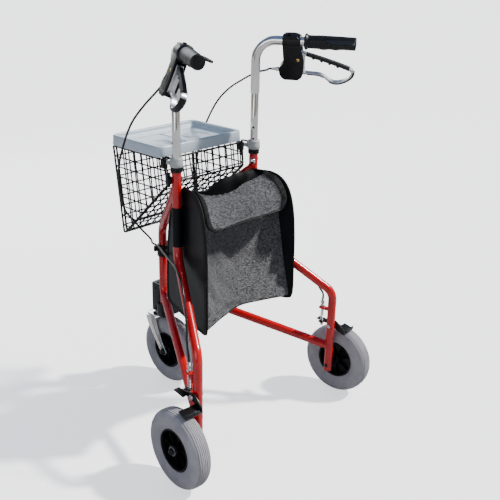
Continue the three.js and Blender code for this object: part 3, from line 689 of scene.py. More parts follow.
def coped(shape, target, radius, direction):
    """Cuts a tube's end back along its direction to the surface of a vertical tube about target."""
    verts = []
    for v in shape.verts:
        flat, run = Vector((v.x - target.x, v.y - target.y)), Vector((direction.x, direction.y))
        if flat.length < radius:
            qa, qb, qc = run.dot(run), 2 * flat.dot(run), flat.dot(flat) - radius ** 2
            v = v + direction * ((-qb + math.sqrt(qb * qb - 4 * qa * qc)) / (2 * qa))
        verts.append(v)
    return Shape(verts, shape.faces)


def make_frame_tubes():
    corners = [mm(0, POST_BACK, 668), mm(0, POST_BACK, 460), mm(0, LEG_BACK, 310), mm(0, LEG_BACK, 79)]
    path = rounded_path(corners, [40 * MM, 40 * MM], 16)
    outer = sweep(path, TUBE_R, 40)
    seam = rod((0, LEG_BACK, 78.2), (0, LEG_BACK, 80), 10.2, 32, 0.8)
    pair("frame_tube", (outer + seam).at(SIDE), "side", red_paint(), ["frame_tube"])
    corners = [mm(0, POST_BACK, 633), mm(0, 0, 455), mm(0, 0, 270), mm(0, LEG_BACK, 151)]
    path = rounded_path(corners, [50 * MM, 35 * MM], 16)
    slope_top = (path[1] - path[0]).normalized()
    slope_end = (path[-1] - path[-2]).normalized()
    path[0] = path[0] + slope_top * 2 * MM
    path[-1] = path[-1] - slope_end * 5 * MM
    tube = coped(sweep(path, TUBE_R, 40), mm(0, POST_BACK, 0), 10.4 * MM, slope_top)
    stub = rod((0, 0, 203), (0, 0, 282), 9, 28)
    top_bead = weld_bead(path[0] + slope_top * 0.06, -slope_top, TUBE_R, mm(0, POST_BACK, 0),
                         TUBE_R + 0.0002, 1.5 * MM)
    low_bead = weld_bead(path[-1] - slope_end * 0.06, slope_end, TUBE_R, mm(0, LEG_BACK, 0), TUBE_R + 0.0002,
                         1.5 * MM)
    shape = joined([tube, stub, top_bead, low_bead]).at(SIDE)
    pair("front_tube", shape, "side", red_paint(), ["front_tube"])


def make_collars():
    profile = [(9.8, 680.3), (15.3, 680.3), (15.8, 681), (15.8, 691), (15.2, 692.2), (14.9, 693),
               (14.9, 699), (14.2, 701), (13, 702), (10.4, 702), (9.8, 701.2)]
    up = Matrix.Rotation(-math.pi / 2, 4, "Y")
    body = turned(profile, 56).at(POST @ up)
    toward_front = POST @ Matrix.Rotation(FRAME_ANGLE, 4, "Z")
    lug = joined([block(-8, -2.4, -27, -10, 682, 691, 1.2), block(2.4, 8, -27, -10, 682, 691, 1.2),
                  block(-8, 8, -17, -10, 682, 691, 1.2),
                  block(-1.2, 1.2, -20, -14, 690, 699, 0.8)]).at(toward_front)
    pair("height_collar", body + lug, "side", grey_plastic(), ["height_collar"])
    profile = [(9.8, 668.3), (13.4, 668.3), (14.1, 669), (14.1, 673), (13.7, 673.6), (14.1, 674.2),
               (14.1, 679.2), (13.5, 680), (9.8, 680)]
    ring = turned(profile, 56).at(POST @ up)
    pair("collar_ring", ring, "side", black_plastic(), ["collar_ring"])


def make_knobs():
    outline = [(-17, -3.2), (-16.4, 1.6), (-9, 4.6), (-4, 7.6), (4, 7.6), (9, 4), (16.4, 2.8), (17, -2.2),
               (15.8, -4), (9, -4.2), (4, -7.6), (-4, -7.6), (-9, -4.8), (-15, -4.4)]
    wings = plate(outline, 15, 22.4, 1.6, 4)
    hub = rod((11.6, 0, 0), (23.4, 0, 0), 8.4, 40, 1.4)
    screw = rod((10.2, 0, 0), (13, 0, 0), 4)
    place = POST @ Matrix.Translation((0, 0, KNOB_Z * MM))
    wings = wings.at(Matrix.Rotation(math.radians(94), 4, "X"))
    pair("height_knob", joined([wings, hub, screw]).at(place), "knob", black_plastic(),
         ["height_knob"])
    dome = [(0.01, -15.6), (3.4, -15.1), (5.6, -13.8), (6.9, -11.9), (7.2, -11.3), (0.01, -11.2)]
    bolt = turned(dome, 32) + hexagon((-15.9, 0, 0), (-14.6, 0, 0), 2.6, 0.3)
    pair("dome_bolt", bolt.at(place), "side", chrome(), ["dome_bolt"])


# ---------------------------------------------------------------- wheels
def tyre_profile():
    """A squarish section with seven grooves round the tread, as (radius, distance) in millimetres."""
    def section(a):
        s, c = math.sin(math.radians(a)), math.cos(math.radians(a))
        return 71.5 + 23.5 * math.copysign(abs(c) ** 0.7, c), 23 * math.copysign(abs(s) ** 0.7, s)

    def crown(x):
        return 71.5 + 23.5 * (1 - abs(x / 23) ** 2.86) ** 0.35
    wall = [section(a) for a in range(-106, -42, 4)]
    tread = []
    for k in range(-3, 4):
        x = 4.6 * k
        tread += [(crown(x - 1), x - 1), (crown(x) - 1.8, x - 0.6), (crown(x) - 1.8, x + 0.6),
                  (crown(x + 1), x + 1)]
    bead = [(60, 21.2), (55, 18.8), (51.5, 17.4), (50.2, 15.5)]
    half = [(50.2, -15.5), (51.5, -17.4), (55, -18.8), (60, -21.2)] + wall
    return half + tread + [(r, -x) for r, x in reversed(wall)] + bead


def wheel_shapes():
    tyre = turned(tyre_profile(), 112)
    rim = turned([(49.9, -15.4), (49.9, 15.4), (51.4, 16.6), (50.6, 18.2), (48.8, 18.6), (46.6, 17.4),
                  (45.2, 13), (44.2, 5), (43.6, 2.2), (43.6, -2.2), (44.2, -5), (45.2, -13), (46.6, -17.4),
                  (48.8, -18.6), (50.6, -18.2), (51.4, -16.6)], 96)
    web = turned([(13, -2.2), (44, -2.2), (44, 2.2), (13, 2.2)], 96)
    boss = turned([(5.3, -20), (10, -20), (11.2, -19), (12.4, -14), (13.2, -3), (13.2, 3), (12.4, 14),
                   (11.2, 19), (10, 20), (5.3, 20)], 56)
    ribs = []
    for k in range(7):
        turn = Matrix.Rotation(2 * math.pi * (k + 0.35) / 7, 4, "X")
        outline = [(11, -13), (45, -13), (45, 13), (11, 13)]
        loops = [[mm(x, r, t) for r, x in outline] for t in (-0.6, 0.6)]
        ribs.append(cleaned(rings(loops), 0.3 * MM, 2).at(turn))
    hub = joined([rim, web, boss] + ribs)
    return tyre, hub


def axle_end(out):
    """Silver washer and black cap on the outer end of an axle, from distance out."""
    washer = turned([(4.9, out), (11.4, out), (12, out + 0.5), (12, out + 1.5), (11.4, out + 2),
                     (4.9, out + 2)], 48)
    cap = turned([(0.01, out + 9.2), (3, out + 9.1), (5.6, out + 8.2), (7.4, out + 6.2), (7.9, out + 3.4),
                  (8.4, out + 2), (0.01, out + 2)], 48)
    return washer, cap


def make_wheels():
    tyre, hub = wheel_shapes()
    rear = WHEEL @ Matrix.Translation((WHEEL_OUT, 0, WHEEL_R))
    front = Matrix.Translation((0, WHEEL_Y, WHEEL_R))
    pair("tyre", tyre.at(rear), "wheel", tyre_rubber(), ["tyre"])
    pair("hub", hub.at(rear), "wheel", black_plastic(), ["hub"])
    piece("front_tyre", tyre.at(front), "front_wheel", tyre_rubber(), ["front_tyre"])
    piece("front_hub", hub.at(front), "front_wheel", black_plastic(), ["front_hub"])
    washer, cap = axle_end(20.4)
    pair("axle_washer", washer.at(rear), "side", dull_steel())
    dome = turned([(0.01, -13.6), (2.8, -13.4), (4.8, -12.6), (5.6, -11.6), (5.4, -11.2), (0.01, -11.2)], 36)
    bolt = joined([dome, rod((-12, 0, 0), (60, 0, 0), 4.8),
                   rod((11.6, 0, 0), (30.4, 0, 0), 7.8)]).at(WHEEL @ Matrix.Translation((0, 0, WHEEL_R)))
    pair("axle_bolt", bolt + cap.at(rear), "side", black_metal(), ["axle_bolt"])


# ---------------------------------------------------------------- caster
def make_caster():
    clamp_outline = rounded_outline(-30.6, 30.6, -207, -178, 13, 10)
    clamp = slab(clamp_outline, 377, 410, 2.2, 4)
    ridge = slab(rounded_outline(-31, 31, -207.3, -177.7, 13.4, 10), 390.5, 396.5, 0.8)
    bolts = [hexagon((0, -208.6, 383.5), (0, -205, 383.5), 5),
             hexagon((0, -208.6, 403.5), (0, -205, 403.5), 5)]
    clip = joined([block(26, 42, -196, -184, 399, 409, 2), rod((43, -190, 398), (43, -190, 412), 5, 24, 1)])
    shape = joined([clamp, ridge, clip, flipped(clip)] + bolts)
    piece("upper_hinge_clamp", shape, "head", black_plastic(), ["upper_hinge_clamp"])
    front = slab(rounded_outline(-15, 15, -246, -207.5, 4.5, 6), 199, 283, 2, 4)
    face = block(-10.5, 10.5, -246.9, -243, 206, 276, 1.2)
    foot = slab(rounded_outline(-31, 31, -210, -176, 9, 6), 199, 236, 2, 4)
    cap = rod((0, STEM_Y, 281), (0, STEM_Y, 285.6), 7.6, 32, 1.6)
    places = [(hand, z) for hand in (-1, 1) for z in (212, 268)]
    rivets = [rod((s * 14.6, STEM_Y, z), (s * 16.4, STEM_Y, z), 3.2, 20, 0.9) for s, z in places]
    piece("caster_housing", joined([front, face, foot, cap] + rivets), "head", black_metal(),
          ["caster_housing"])
    stem = joined([rod((0, STEM_Y, 195.3), (0, STEM_Y, 198.7), 13),
                   rod((0, STEM_Y, 197), (0, STEM_Y, 262), 7.2)])
    piece("caster_stem", stem, "caster", zinc(), ["caster_stem"])
    piece("caster_fork", caster_fork(), "caster", chrome(), ["caster_fork"])
    middle = Matrix.Translation((0, WHEEL_Y, WHEEL_R))
    nuts = [rod((-38, 0, 0), (38, 0, 0), 4.8)]
    for hand in (-1, 1):
        nuts.append(rod((hand * 20.3, 0, 0), (hand * 27.2, 0, 0), 8))
        cap = turned([(0.01, 39.6), (3, 39.5), (6, 38.6), (8, 36.4), (8.6, 33), (9.6, 31.4), (0.01, 31.4)],
                     40)
        nuts.append(cap if hand > 0 else flipped(cap))
    piece("front_axle", joined(nuts).at(middle), "caster", black_metal(), ["front_axle"])


def caster_fork():
    """Crown and two stamped blades with rolled edges and a raised rib."""
    crown = slab(rounded_outline(-31, 31, -253.5, -213.5, 12, 8), 188, 195, 2.2, 4)
    parts = [crown]
    centre = [(-234, 192), (-228, 172), (-214, 146), (-199, 120), (AXLE_Y, AXLE_Z)]
    half = [19.5, 17.5, 14, 11.5, 10.5]
    left = smooth_path([mm(0, y - h * 0.9, z - h * 0.35) for (y, z), h in zip(centre, half)], 14)
    right = smooth_path([mm(0, y + h * 0.9, min(z + h * 0.35, 190)) for (y, z), h in zip(centre, half)], 14)
    tip = []
    for k in range(1, 12):
        a = math.radians(200 + (380 - 200) * k / 12)
        tip.append(mm(0, AXLE_Y + 11 * math.cos(a), AXLE_Z + 11 * math.sin(a)))
    outline = [(p.y / MM, p.z / MM) for p in left + tip + list(reversed(right))]
    for hand in (-1, 1):
        x0, x1 = (28, 31) if hand > 0 else (-31, -28)
        parts.append(plate(outline, x0, x1, 0.9, 3, 50))
        rib = smooth_path([mm(hand * 31.2, y, z) for y, z in centre[:4] + [(-190, 106)]], 20)
        parts.append(sweep(rib, 2.6 * MM, 16))
        for side in (left, right):
            parts.append(sweep([p + Vector((hand * 30.4 * MM, 0, 0)) for p in side], 1.5 * MM, 12))
    return joined(parts)


# ---------------------------------------------------------------- rear brakes
def helix(x, y, z0, z1, radius, wire, turns, steps=18):
    count = int(turns * steps)
    points = []
    for k in range(count + 1):
        a = 2 * math.pi * k / steps
        points.append(mm(x + radius * math.cos(a), y + radius * math.sin(a), z0 + (z1 - z0) * k / count))
    return sweep(points, wire * MM, 10)


def make_brakes():
    shelf = slab(rounded_outline(-7, 9, -38, -9, 5, 6), BRACKET_Z - 2, BRACKET_Z + 2, 0.9)
    gusset = plate([(-22, BRACKET_Z - 1.5), (-9.5, BRACKET_Z - 1.5), (-9.5, BRACKET_Z - 16)], 5, 9, 0.6)
    bead = sweep([mm(x, -11 - (1 - (x / 9) ** 2) * 0.6, BRACKET_Z + 2) for x in (-7, -4, 0, 4, 7, 9)],
                 1.4 * MM, 10)
    pair("cable_bracket", joined([shelf, gusset, bead]).at(WHEEL), "side", red_paint(),
         ["cable_bracket"])
    base = BRACKET_Z + 2.4
    thread_profile = [(0.01, base), (4, base)]
    for k in range(12):
        z = base + 5.6 + k * 1.6
        thread_profile += [(3.0, z), (3.7, z + 0.8)]
    thread_profile += [(3.2, base + 25.6), (0.01, base + 25.8)]
    up = Matrix.Rotation(-math.pi / 2, 4, "Y")
    barrel = turned(thread_profile, 32).at(Matrix.Translation(mm(2, -30, 0)) @ up)
    nuts = [hexagon((2, -30, base), (2, -30, base + 5.2), 5.6),
            rod((2, -30, base + 9.6), (2, -30, base + 15.6), 5, 32, 0.8)]
    pair("cable_adjuster", joined([barrel] + nuts).at(WHEEL), "side", zinc(), ["cable_adjuster"])
    coil = helix(2, -30, 218, 254, 3.6, 0.7, 11)
    inner = rod((2, -30, 217.4), (2, -30, 254.4), 0.9, 12, 0.1)
    for made in pair("brake_spring", (coil + inner).at(WHEEL), None, zinc(), ["brake_spring"]):
        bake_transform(made)
    inner_head = turned([(0.01, -13.1), (2.6, -12.9), (4.2, -12.2), (4.6, -11.4), (0.01, -11.2)], 32)
    shank = joined([rod((-12, 0, 0), (21.6, 0, 0), 3.9), hexagon((17.4, 0, 0), (21.6, 0, 0), 7), inner_head])
    bolt = shank.at(WHEEL @ Matrix.Translation((0, 0, 213 * MM)))
    pair("brake_pivot_bolt", bolt, "side", zinc(), ["brake_pivot_bolt"])
    web = plate([(-43, 209.4), (-42.4, 214.6), (-24, 217.4), (-8, 221.8), (0, 223), (6, 222.8), (20, 214.8),
                 (33, 200), (36, 191), (35.4, 188.8), (30, 188.6), (18, 193.6), (8, 199.6), (0, 203),
                 (-20, 207.2)],
                12.6, 16.6, 0.9, 3, 40)
    boss = turned([(4.2, 11.8), (8.6, 11.8), (9.2, 12.6), (9.2, 16.8), (8.6, 17.2), (4.2, 17.2)], 36)
    boss = boss.at(Matrix.Translation(mm(0, 0, 213)))
    tab = block(-5, 14, -37, -23, 213.2, 217, 1)
    paddle = plate([(-53, 210.6), (-52.6, 213.8), (-36, 213), (-18, 211), (-18, 208.2), (-36, 209.8)], 13,
                   29, 0.8)
    shoe = plate([(8, 196.6), (9, 200), (22, 196.4), (36, 191.6), (35, 188.2), (21, 192.8)], 14, 60, 0.9, 3,
                 40)
    flange = plate([(32.8, 189), (36, 190.2), (37, 199.8), (34.2, 199.8)], 22, 60, 0.8)
    arm = joined([web, boss, tab, paddle, shoe, flange]).at(WHEEL)
    pair("brake_arm", arm, "brake", black_metal(), ["brake_arm"])
    nut = joined([hexagon((2, -30, 206.4), (2, -30, 212.6), 4.4), rod((2, -30, 203.6), (2, -30, 207), 2.4)])
    pair("cable_nut", nut.at(WHEEL), "brake", brass())


# ---------------------------------------------------------------- handles
def make_handle_tubes():
    lower = rod((0, POST_BACK, 600), (0, POST_BACK, 822), 9.5, 36, 0.8)
    path = rounded_path([mm(0, POST_BACK, 820), mm(0, POST_BACK, 945), mm(0, 447, 945)], [48 * MM], 20)
    start = [mm(0, POST_BACK, 817.6), mm(0, POST_BACK, 818.4)]
    upper = sweep(start + path, [9.6 * MM, 10.7 * MM] + [TUBE_R] * len(path), 40)
    ring = turned([(2.9, 9.2), (3.6, 9.2), (3.6, 9.62), (2.9, 9.62)], 24)
    rims, holes = [], []
    for k in range(1, 4):
        z = KNOB_Z + HOLE_PITCH * k
        place = Matrix.Translation(mm(0, POST_BACK, z))
        rims += [flipped(ring).at(place), ring.at(place)]
        holes.append(rod((-9.58, POST_BACK, z), (9.58, POST_BACK, z), 2.9, 20, 0.05))
    pair("handle_tube", joined([lower, upper] + rims).at(SIDE), "handle", chrome(),
         ["handle_tube"])
    # Painted shade: black rods fill the height holes in place of the dark inside of the tube.
    dark = plain("painted_hole_shade", (0.01, 0.01, 0.01), 0.9)
    pair("height_hole_shade", joined(holes).at(SIDE), "handle", dark)


def make_lever_housing():
    outline = [(284, -52), (283.4, 6), (284.4, 12), (289, 15.4), (296, 16.2), (312, 16.2), (320, 14.6),
               (325, 10), (327, -4), (329.6, -28), (334, -44), (333.4, -60), (330.6, -82), (326, -92),
               (318, -98), (286, -98), (278, -93), (273.4, -84), (272, -72), (274.4, -64), (280.4, -58)]
    cheeks = [plate(outline, -13, -8.2, 1.3, 3, 24), plate(outline, 8.2, 13, 1.3, 3, 24)]
    core_front = plate([(284.4, -52), (284, 8), (290, 15), (306, 15), (306, -97), (286, -97), (279, -92),
                        (274, -84), (273, -72), (275, -64), (281, -58)], -9, 9, 0.8)
    bridge = plate([(300, -12.6), (300, 15.2), (319, 15.2), (325, 9), (326.4, -12.6)], -9, 9, 0.8)
    ring = turned([(11.5, 283.6), (15.4, 283.6), (16.2, 284.6), (16.2, 325), (15.4, 326), (11.5, 326)], 56)
    ring = ring.at(Matrix.Rotation(math.pi / 2, 4, "Z"))
    boss = rod((0, 299, 13), (0, 299, 19.4), 5, 28, 1)
    slot_screw = block(-0.7, 0.7, 295.4, 302.6, 18.6, 20, 0.2)
    turns = [math.radians(a) for a in range(0, 181, 10)]
    arc = sweep([mm(13, 303 + 15 * math.cos(a), -66 + 13 * math.sin(a)) for a in turns], 0.6 * MM, 8)
    line = sweep([mm(13, 275, -86), mm(13, 300, -87.4), mm(13, 330, -86)], 0.55 * MM, 8)
    marks = [arc, flipped(arc), line, flipped(line)]
    shape = joined(cheeks + [core_front, bridge, ring, boss, slot_screw] + marks).at(LEVER)
    pair("lever_housing", shape, "handle", black_plastic(), ["lever_housing"])
    pin = rod((-13.8, 320, -42), (13.8, 320, -42), 3, 32, 0.7)
    dimple = joined([rod((x, 320, -42), (x + 0.6, 320, -42), 3.9, 28, 0.3) for x in (13.4, -14)])
    pair("lever_pin", (pin + dimple).at(LEVER), "handle", brass(), ["lever_pin"])
    ferrule = joined([rod((0, 271.6, -76), (0, 264, -76), 5.2, 32, 0.6),
                      rod((0, 264.2, -76), (0, 258, -76), 4.2, 32, 0.5, 3.6),
                      rod((0, 258.2, -76), (0, 253.4, -76), 3.3, 32, 0.4)])
    pair("cable_ferrule", ferrule.at(LEVER), "handle", zinc(), ["cable_ferrule"])


def make_lever():
    loop = [(322, -30), (330, -29), (345, -33.5), (372, -41.5), (400, -50.5), (428, -60.5), (443, -67),
            (449.4, -74), (447, -84), (437, -94), (422, -101.4), (408, -104), (395, -99.4), (382, -89.4),
            (370, -84.4), (350, -82.6), (326, -81.6)]
    path = smooth_path([mm(0, y, z) for y, z in loop], 96)
    alloy = ribbon(path, (1, 0, 0), 13 * MM, 5.4 * MM)
    root = plate([(311, -40), (313, -28), (325, -24.6), (333, -27), (334, -80), (330, -85), (322, -84),
                  (315, -60)],
                 -7.3, 7.3, 1, 3)
    pair("brake_lever", (alloy + root).at(LEVER), "lever", zinc(), ["brake_lever"])

    def cover(first, last, width, thick, shift):
        part = path[first:last]
        centre = mm(0, 396, -74)
        moved = []
        for i, point in enumerate(part):
            back, ahead = part[max(i - 1, 0)], part[min(i + 1, len(part) - 1)]
            out = Vector((1, 0, 0)).cross((ahead - back).normalized())
            if out.dot(point - centre) < 0:
                out = -out
            moved.append(point + out * shift * MM)
        return ribbon(moved, (1, 0, 0), width * MM, thick * MM, corner=0.4)
    bumps_below = []
    for i in range(12, 40, 7):
        y, z = path[i].y / MM, path[i].z / MM - 3.4
        bumps_below.append(rod((-6.9, y, z), (6.9, y, z), 3.6, 24, 1.4))
    covers = joined([cover(6, 44, 14.8, 9, -0.2), cover(47, 72, 14.6, 7.4, 1.3), cover(77, 92, 14.2, 6, 0.8)]
                    + bumps_below)
    pair("lever_cover", covers.at(LEVER), "lever", pebble())


def grip_radius(u, a):
    """Grip radius in millimetres at distance u from its start; angle a is 0 at the inner side."""
    top, inner = math.sin(a), math.cos(a)
    base = 14.6 + 1.2 * math.sin(min(u / 118, 1) * math.pi)
    base += 4.6 * math.exp(-((u - 3.6) / 4.2) ** 2)
    base += 2.1 * math.exp(-((u - 46) / 8) ** 2) * max(-top, 0) ** 1.2
    base += 1.7 * math.exp(-((u - 74) / 9) ** 2) * max(-top, 0) ** 1.2
    base += 1.8 * max(0.0, (u - 92) / 28) * max(-top, 0.0)
    for k in range(5):
        base += 0.9 * math.exp(-((u - 12 - 7 * k) / 1.5) ** 2) * max(0, 0.7 + 0.3 * inner)
    rise = 1 / (1 + math.exp(-(u - 62) / 9))
    if top > 0.5:
        base -= 1.6 * rise * (top - 0.5)
    return base


def make_grips():
    loops = []
    stations = [0, 0.6, 1.6] + [2.4 + 116.4 * k / 76 for k in range(77)] + [119.4, GRIP_LENGTH]
    for u in stations:
        ease = 1 - 0.14 * max(0, (1.6 - u) / 1.6) ** 2
        ease -= 0.06 * max(0, (u - GRIP_LENGTH + 1.6) / 1.6) ** 2
        loop = []
        for k in range(96):
            a = 2 * math.pi * k / 96
            r = grip_radius(u, a) * ease
            loop.append(mm(-r * math.cos(a), GRIP_START + u, r * math.sin(a)))
        loops.append(loop)
    body = cleaned(rings(loops))
    outline = [(-6, 385), (-15, 386.5), (-24, 391), (-29.5, 400), (-31, 415), (-31, 436), (-29, 448),
               (-22, 454.4), (-12, 455), (-6, 455)]
    wing = [(p.x / MM, p.y / MM) for p in smooth_path([mm(x, u, 0) for x, u in outline], 40)]
    body = body + slab(wing, 6.6, 11.8, 2, 5)
    end_rings = []
    for r, out in ((11.5, 0.5), (4.2, 0.9)):
        ring = turned([(r - 1, 454.6), (r, 454.6), (r, 455 + out), (r - 1, 455 + out)], 48)
        end_rings.append(ring.at(Matrix.Rotation(math.pi / 2, 4, "Z")))
    pair("grip", joined([body] + end_rings).at(LEVER), "handle", rubber(), ["grip"], 50)


# ---------------------------------------------------------------- brake cables
def make_cables():
    for side, hand, upper, lower in (("left", 1, LEFT_CABLE, LEFT_LOWER),
                                     ("right", -1, RIGHT_CABLE, RIGHT_LOWER)):
        across = Matrix.Diagonal((hand, 1, 1, 1))
        path = [across @ (LEVER @ mm(0, 254, -76)), across @ (LEVER @ mm(0, 247, -76))]
        path += [mm(*p) for p in upper]
        path += [across @ (SIDE @ mm(CABLE_OUT, u, z)) for u, z in lower]
        path += [across @ (WHEEL @ mm(2, -31, BRACKET_Z + 40.3)),
                 across @ (WHEEL @ mm(2, -30, BRACKET_Z + 28.4))]
        made = piece(f"{side}_brake_cable", sweep(smooth_path(path, 240), 2.5 * MM, 16), None, sheath(),
                     [f"{side}_brake_cable"])
        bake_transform(made)


# ---------------------------------------------------------------- basket and tray
def basket_wall(height, inset=0):
    """Half width, front y and rear y of the basket at a height, in millimetres."""
    b = BASKET
    share = (height - b["low_front_z"]) / (b["top"] - b["low_front_z"])
    half = b["low_half"] + (b["half"] - b["low_half"]) * share - inset
    front = b["low_front"] + (b["front"] - b["low_front"]) * share + inset
    rear_share = (height - b["low_rear_z"]) / (b["top"] - b["low_rear_z"])
    rear = b["low_rear"] + (b["rear"] - b["low_rear"]) * max(rear_share, 0) - inset
    return half, front, rear


def floor_z(y):
    b = BASKET
    share = (y - b["low_front"]) / (b["low_rear"] - b["low_front"])
    return b["low_front_z"] + (b["low_rear_z"] - b["low_front_z"]) * min(max(share, 0), 1)


def make_basket():
    wires = []
    thin, thick = 1.75 * MM, 2.5 * MM
    for height in [BASKET["top"] - BASKET_PITCH * k for k in range(10)]:
        half, front, rear = basket_wall(height, 1.6)
        low = height < BASKET["low_rear_z"]
        if low:
            share = (height - BASKET["low_front_z"]) / (BASKET["low_rear_z"] - BASKET["low_front_z"])
            back = BASKET["low_front"] + (BASKET["low_rear"] - BASKET["low_front"]) * share
        else:
            back = rear
        corners = [mm(-half, back, height), mm(-half, front, height), mm(half, front, height),
                   mm(half, back, height)]
        size = thick if height == BASKET["top"] else thin
        if low:
            if back - front < 12:
                continue
            wires.append(sweep(rounded_path(corners, [8 * MM] * 2, 5), size, 10))
        else:
            ring = rounded_path([mm(0, back, height)] + corners + [mm(0, back, height)], [8 * MM] * 4, 5)
            wires.append(sweep(ring[:-1], size, 10, closed=True))
    top, low_half = BASKET["top"], BASKET["low_half"]
    for k in range(-5, 6):
        share = k / 5.25
        x_top, x_low = share * (BASKET["half"] - 1.6), share * (low_half - 1.6)
        path = [mm(x_top, BASKET["front"] + 3, top), mm(x_low, BASKET["low_front"] + 3, 463),
                mm(x_low, BASKET["low_rear"] - 3, 630), mm(x_top, BASKET["rear"] - 3, top)]
        wires.append(sweep(rounded_path(path, [3 * MM, 7 * MM], 5), thin, 10))
    for k in range(8):
        y_top = BASKET["front"] + 12 + k * 22.6
        share = (y_top - BASKET["front"]) / (BASKET["rear"] - BASKET["front"])
        y_low = BASKET["low_front"] + share * (BASKET["low_rear"] - BASKET["low_front"])
        low = floor_z(y_low) + 3
        half_low = basket_wall(max(low, 463), 3)[0]
        path = [mm(-BASKET["half"] + 3, y_top, top), mm(-half_low, y_low, low), mm(half_low, y_low, low),
                mm(BASKET["half"] - 3, y_top, top)]
        wires.append(sweep(rounded_path(path, [7 * MM, 7 * MM], 5), thin, 10))
    edge = [(131.4, -49, 694), (131.4, -49, 688), (126, -38.4, 630), (126, -211.6, 463),
            (131.4, -234.4, 688)]
    hook = [(128, -46, 655), (128, -45.6, 695.5), (128, -24, 695.6), (128, -22.6, 690.4)]
    for hand in (-1, 1):
        side = [mm(hand * x, y, z) for x, y, z in edge]
        wires.append(sweep(rounded_path(side, [1 * MM, 9 * MM, 4 * MM], 6), thick, 12))
        side = [mm(hand * x, y, z) for x, y, z in hook]
        wires.append(sweep(rounded_path(side, [5 * MM, 3 * MM], 6), 2.2 * MM, 12))
    for y, z in ((BASKET["low_front"] + 3.4, 467), (BASKET["low_rear"] - 5, 630)):
        wires.append(sweep([mm(-125, y, z), mm(125, y, z)], thick, 12))
    piece("basket", joined(wires), "basket", wire_coat(), ["basket"])
    clips = [slab(rounded_outline(hand * 128 - 7, hand * 128 + 7, -56, -43, 3, 5), 668, 690,
                  1.2) for hand in (-1, 1)]
    piece("basket_clips", joined(clips), "basket", black_plastic())


def tray_loop(inset, z, corner):
    outline = rounded_outline(-138 + inset, 138 - inset, -239.5 + inset, -51 - inset, max(corner, 2), 9)
    return [mm(x, y, z) for x, y in outline]


def arc_bead(x, y, z, radius, angles, wire, sides, closed=False):
    """A raised line on the tray along an arc, in millimetres and degrees."""
    arc = []
    for angle in angles:
        a = math.radians(angle)
        arc.append(mm(x + radius * math.cos(a), y + radius * math.sin(a), z))
    return sweep(arc, wire * MM, sides, closed)


def make_tray():
    # Inset from the rim, height and corner radius of the tray's outside and top, then of its underside.
    steps = [(3.4, 692.2, 15), (2.0, 691, 16), (0.4, 691.4, 17), (0, 693, 17), (0.6, 704, 17),
             (1.0, 713.6, 17), (1.8, 716, 16.5), (3.4, 716.9, 15.6), (9.6, 716.9, 12), (11.2, 716.2, 11.4),
             (12, 714.4, 11), (12.4, 709.4, 10.8), (13.2, 708.4, 10.4), (15.6, 708, 9.6), (16.8, 707.2, 9),
             (17.8, 703.6, 9), (19, 701.6, 8.6), (21.6, 700.6, 8), (26, 700.3, 6), (60, 700.2, 4),
             (90, 700.2, 3)]
    outside = [tray_loop(*s) for s in steps]
    under = [(90, 697.4, 3), (24, 697.4, 8), (8, 697.4, 10), (5, 696.8, 13), (4, 694, 14.6)]
    under = [tray_loop(*s) for s in under]
    body = cleaned(rings(outside[::-1] + under[::-1]))
    marks = []
    for hand, x, y in ((1, 66, -146), (-1, -64, -146)):
        marks.append(arc_bead(x, y, 700.5, 34, range(hand * 90 - 118, hand * 90 + 119, 8), 1.5, 12))
        marks.append(arc_bead(x, y, 700.3, 24, range(0, 360, 10), 1.0, 10, closed=True))
    ridge = [mm(0, -215, 700.4), mm(0, -180, 700.4), mm(0, -112, 700.4), mm(0, -76, 700.4)]
    marks.append(sweep(ridge, 1.2 * MM, 10))
    piece("tray", joined([body] + marks), "tray", tray_plastic(), ["tray"], 50)


# ---------------------------------------------------------------- bag
def bag_edge(count=120):
    """Smooth outline of the bag seen from the side, as points with y behind the post's axis."""
    return smooth_path([mm(0, d, z) for d, z in BAG_SIDE], count, closed=True)


def panel_surface(edge, x_outer, x_inner, dome, steps=9):
    """A soft panel whose face swells a little between its edges."""
    centre = Vector((0, sum(p.y for p in edge) / len(edge), sum(p.z for p in edge) / len(edge)))
    loops = []

    def loop(scale, x):
        points = []
        for p in edge:
            q = centre + (p - centre) * scale
            wave = noise.noise(Vector((q.y * 14, q.z * 14, 3.1))) * 1.4 * MM * (1 - scale ** 4)
            points.append(Vector((x * MM + wave, q.y, q.z)))
        return points
    for k in range(steps + 1):
        s = 0.02 + 0.98 * k / steps
        loops.append(loop(s, x_outer - dome * s ** 6))
    for k in range(steps, -1, -1):
        s = 0.02 + 0.98 * k / steps
        loops.append(loop(s, x_inner + 0.6 * s ** 6))
    return cleaned(rings(loops))


def make_bag_sides():
    edge = bag_edge()
    panel = panel_surface(edge, -12.6, -15.6, 0.5)
    pair("bag_panel", panel.at(BAG), "bag_side", vinyl(), ["bag_panel"], 60)
    piping = sweep([p + mm(-14.2, 0, 0) for p in edge], 3.1 * MM, 12, closed=True)
    inner = [Vector((-12.9 * MM, p.y * 0.94, (p.z - 0.46) * 0.955 + 0.46)) for p in bag_edge(400)]
    welt = sweep(inner, 0.55 * MM, 8, closed=True)
    pair("bag_piping", (piping + welt).at(BAG), "bag_side", binding())
    wrap = turned([(11.5, 487), (12.7, 487), (13.1, 488.4), (12.7, 490), (12.6, 520), (12.75, 560),
                   (12.6, 578), (13.1, 580), (12.9, 582.6), (11.5, 583)], 48)
    wrap = wrap.at(Matrix.Rotation(-math.pi / 2, 4, "Y"))
    flap = block(-13.4, -11.8, 4, 26, 489, 581, 0.7)
    strap = block(-13.6, -12, -24, -4, 489, 581, 0.7)
    a = math.radians(60)
    seam = sweep([mm(12.9 * math.cos(a), 12.9 * math.sin(a), z) for z in (490, 535, 580)], 0.8 * MM, 8)
    pair("bag_sleeve", joined([wrap, flap, strap, seam]).at(BAG), "bag_side", vinyl(),
         ["bag_sleeve"])


